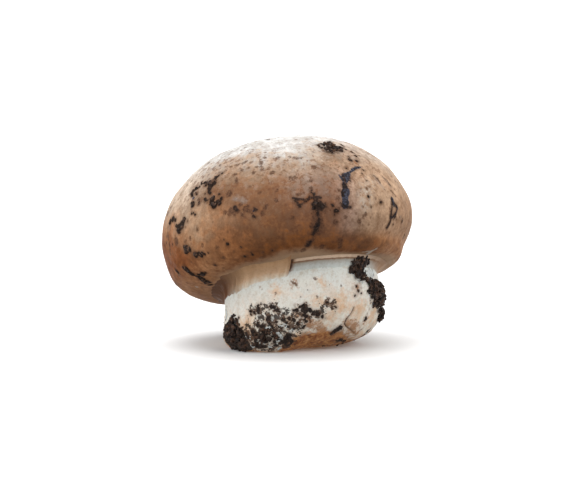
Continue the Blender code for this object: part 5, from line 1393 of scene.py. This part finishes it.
# ---------------------------------------------------------------- studio
def build_studio():
    camera = bpy.data.cameras.new("camera")
    camera.lens, camera.sensor_width, camera.sensor_fit = LENS, 36.0, "HORIZONTAL"
    camera.clip_start, camera.clip_end = 0.01, 20.0
    eye = bpy.data.objects.new("camera", camera)
    eye.location = [c * MM for c in EYE]
    eye.rotation_euler = (math.radians(90.0 - VIEW_ELEVATION), 0.0, 0.0)
    bpy.context.collection.objects.link(eye)
    bpy.context.scene.camera = eye
    bpy.context.scene.view_settings.view_transform = "Standard"
    bpy.context.scene.view_settings.look = "None"

    world = bpy.data.worlds.new("studio")
    world.use_nodes = True
    tree = world.node_tree
    background = next(n for n in tree.nodes if n.type == "BACKGROUND")
    split = tree.nodes.new("ShaderNodeSeparateXYZ")
    height = tree.nodes.new("ShaderNodeMapRange")
    height.interpolation_type = "SMOOTHSTEP"
    for key, value in (("From Min", -0.30), ("From Max", 0.30), ("To Min", GROUND), ("To Max", SKY)):
        height.inputs[key].default_value = value
    tree.links.new(tree.nodes.new("ShaderNodeTexCoord").outputs["Generated"], split.inputs[0])
    tree.links.new(split.outputs["Z"], height.inputs["Value"])
    front = tree.nodes.new("ShaderNodeMapRange")
    front.interpolation_type = "SMOOTHSTEP"
    for key, value in (("From Min", -1.0), ("From Max", -0.2), ("To Min", FRONT_DIM), ("To Max", 1.0)):
        front.inputs[key].default_value = value
    both = tree.nodes.new("ShaderNodeMath")
    both.operation = "MULTIPLY"
    tree.links.new(split.outputs["Y"], front.inputs["Value"])
    tree.links.new(height.outputs["Result"], both.inputs[0])
    tree.links.new(front.outputs["Result"], both.inputs[1])
    tree.links.new(both.outputs[0], background.inputs["Strength"])
    background.inputs["Color"].default_value = (1.0, 1.0, 1.0, 1.0)
    bpy.context.scene.world = world

    for name, (place, side, power) in (("softbox", SOFTBOX), ("fill_left", FILL_LEFT), ("fill_right", FILL_RIGHT)):
        lamp = bpy.data.lights.new(name, "AREA")
        lamp.shape, lamp.size, lamp.energy = "SQUARE", side * MM, power
        box = bpy.data.objects.new(name, lamp)
        box.location = [c * MM for c in place]
        box.rotation_euler = (Vector(box.location) - Vector((0.0, 0.0, 0.02))).to_track_quat("Z", "Y").to_euler()
        bpy.context.collection.objects.link(box)

    # a round cove: floor, curve and wall in one sweep, alike from every side
    sides = 96
    profile = [(0.0, 0.0), (60.0, 0.0), (160.0, 0.0), (320.0, 0.0), (560.0, 0.0), (820.0, 0.0), (1050.0, 0.0)]
    profile += [(1050.0 + 500.0 * math.sin(a), 500.0 - 500.0 * math.cos(a)) for a in np.radians(np.arange(6.0, 91.0, 6.0))]
    profile += [(1550.0, 900.0), (1550.0, 1500.0)]
    verts = [(0.0, 0.0, 0.0)]
    for r, z in profile[1:]:
        verts += [(r * math.cos(a), r * math.sin(a), z) for a in np.arange(sides) * 2.0 * math.pi / sides]
    faces = [[0, 1 + c, 1 + (c + 1) % sides] for c in range(sides)]
    for k in range(len(profile) - 2):
        a, b = 1 + k * sides, 1 + (k + 1) * sides
        faces += [[a + c, b + c, b + (c + 1) % sides, a + (c + 1) % sides] for c in range(sides)]
    n = Nodes("studio_floor")
    colour = n.ramp(n.noise(60.0, 2.0, 0.5), [(0.3, (0.80, 0.80, 0.80)), (0.7, (0.84, 0.84, 0.84))])
    n.put(n.shader.inputs["Base Color"], colour)
    n.shader.inputs["Roughness"].default_value = 0.9
    n.shader.inputs["Specular IOR Level"].default_value = 0.1
    n.shader.inputs["Emission Color"].default_value = (1.0, 1.0, 1.0, 1.0)
    reach = n.add("ShaderNodeVectorMath", operation="LENGTH")
    n.put(reach.inputs[0], n.place)
    n.put(n.shader.inputs["Emission Strength"], n.remap(reach.outputs["Value"], 0.08, 0.70, 0.02, 0.80))
    floor = mesh_object("studio_floor", verts, faces, n.material)
    floor.visible_diffuse = False       # the cove is a backdrop: the sky and the ground light the mushroom


# ---------------------------------------------------------------- the whole
build_studio()
cap_marks = all_marks("cap", CAP_MARKS, 150, 11)
stem_marks = all_marks("stem", STEM_MARKS + TUFT_MARKS, 90, 12)
veil_marks = [m for m in ((kind,) + trace("any", line) for kind, line in VEIL_MARKS) if len(m[1])]

cap = build_cap(cap_marks, cap_material())
stem = build_stem(stem_marks, stem_material())
veil = build_veil(veil_marks, veil_material())
for piece, node, slot in ((cap, "cap", "cap_skin"), (stem, "stem", "stem_flesh"), (veil, "veil", "veil_membrane")):
    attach(piece, "root")
    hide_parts(node)
build_soil(cap_marks, stem_marks, soil_material("peat", False), soil_material("peat_damp", True))
build_tufts(stem_marks, tuft_material())
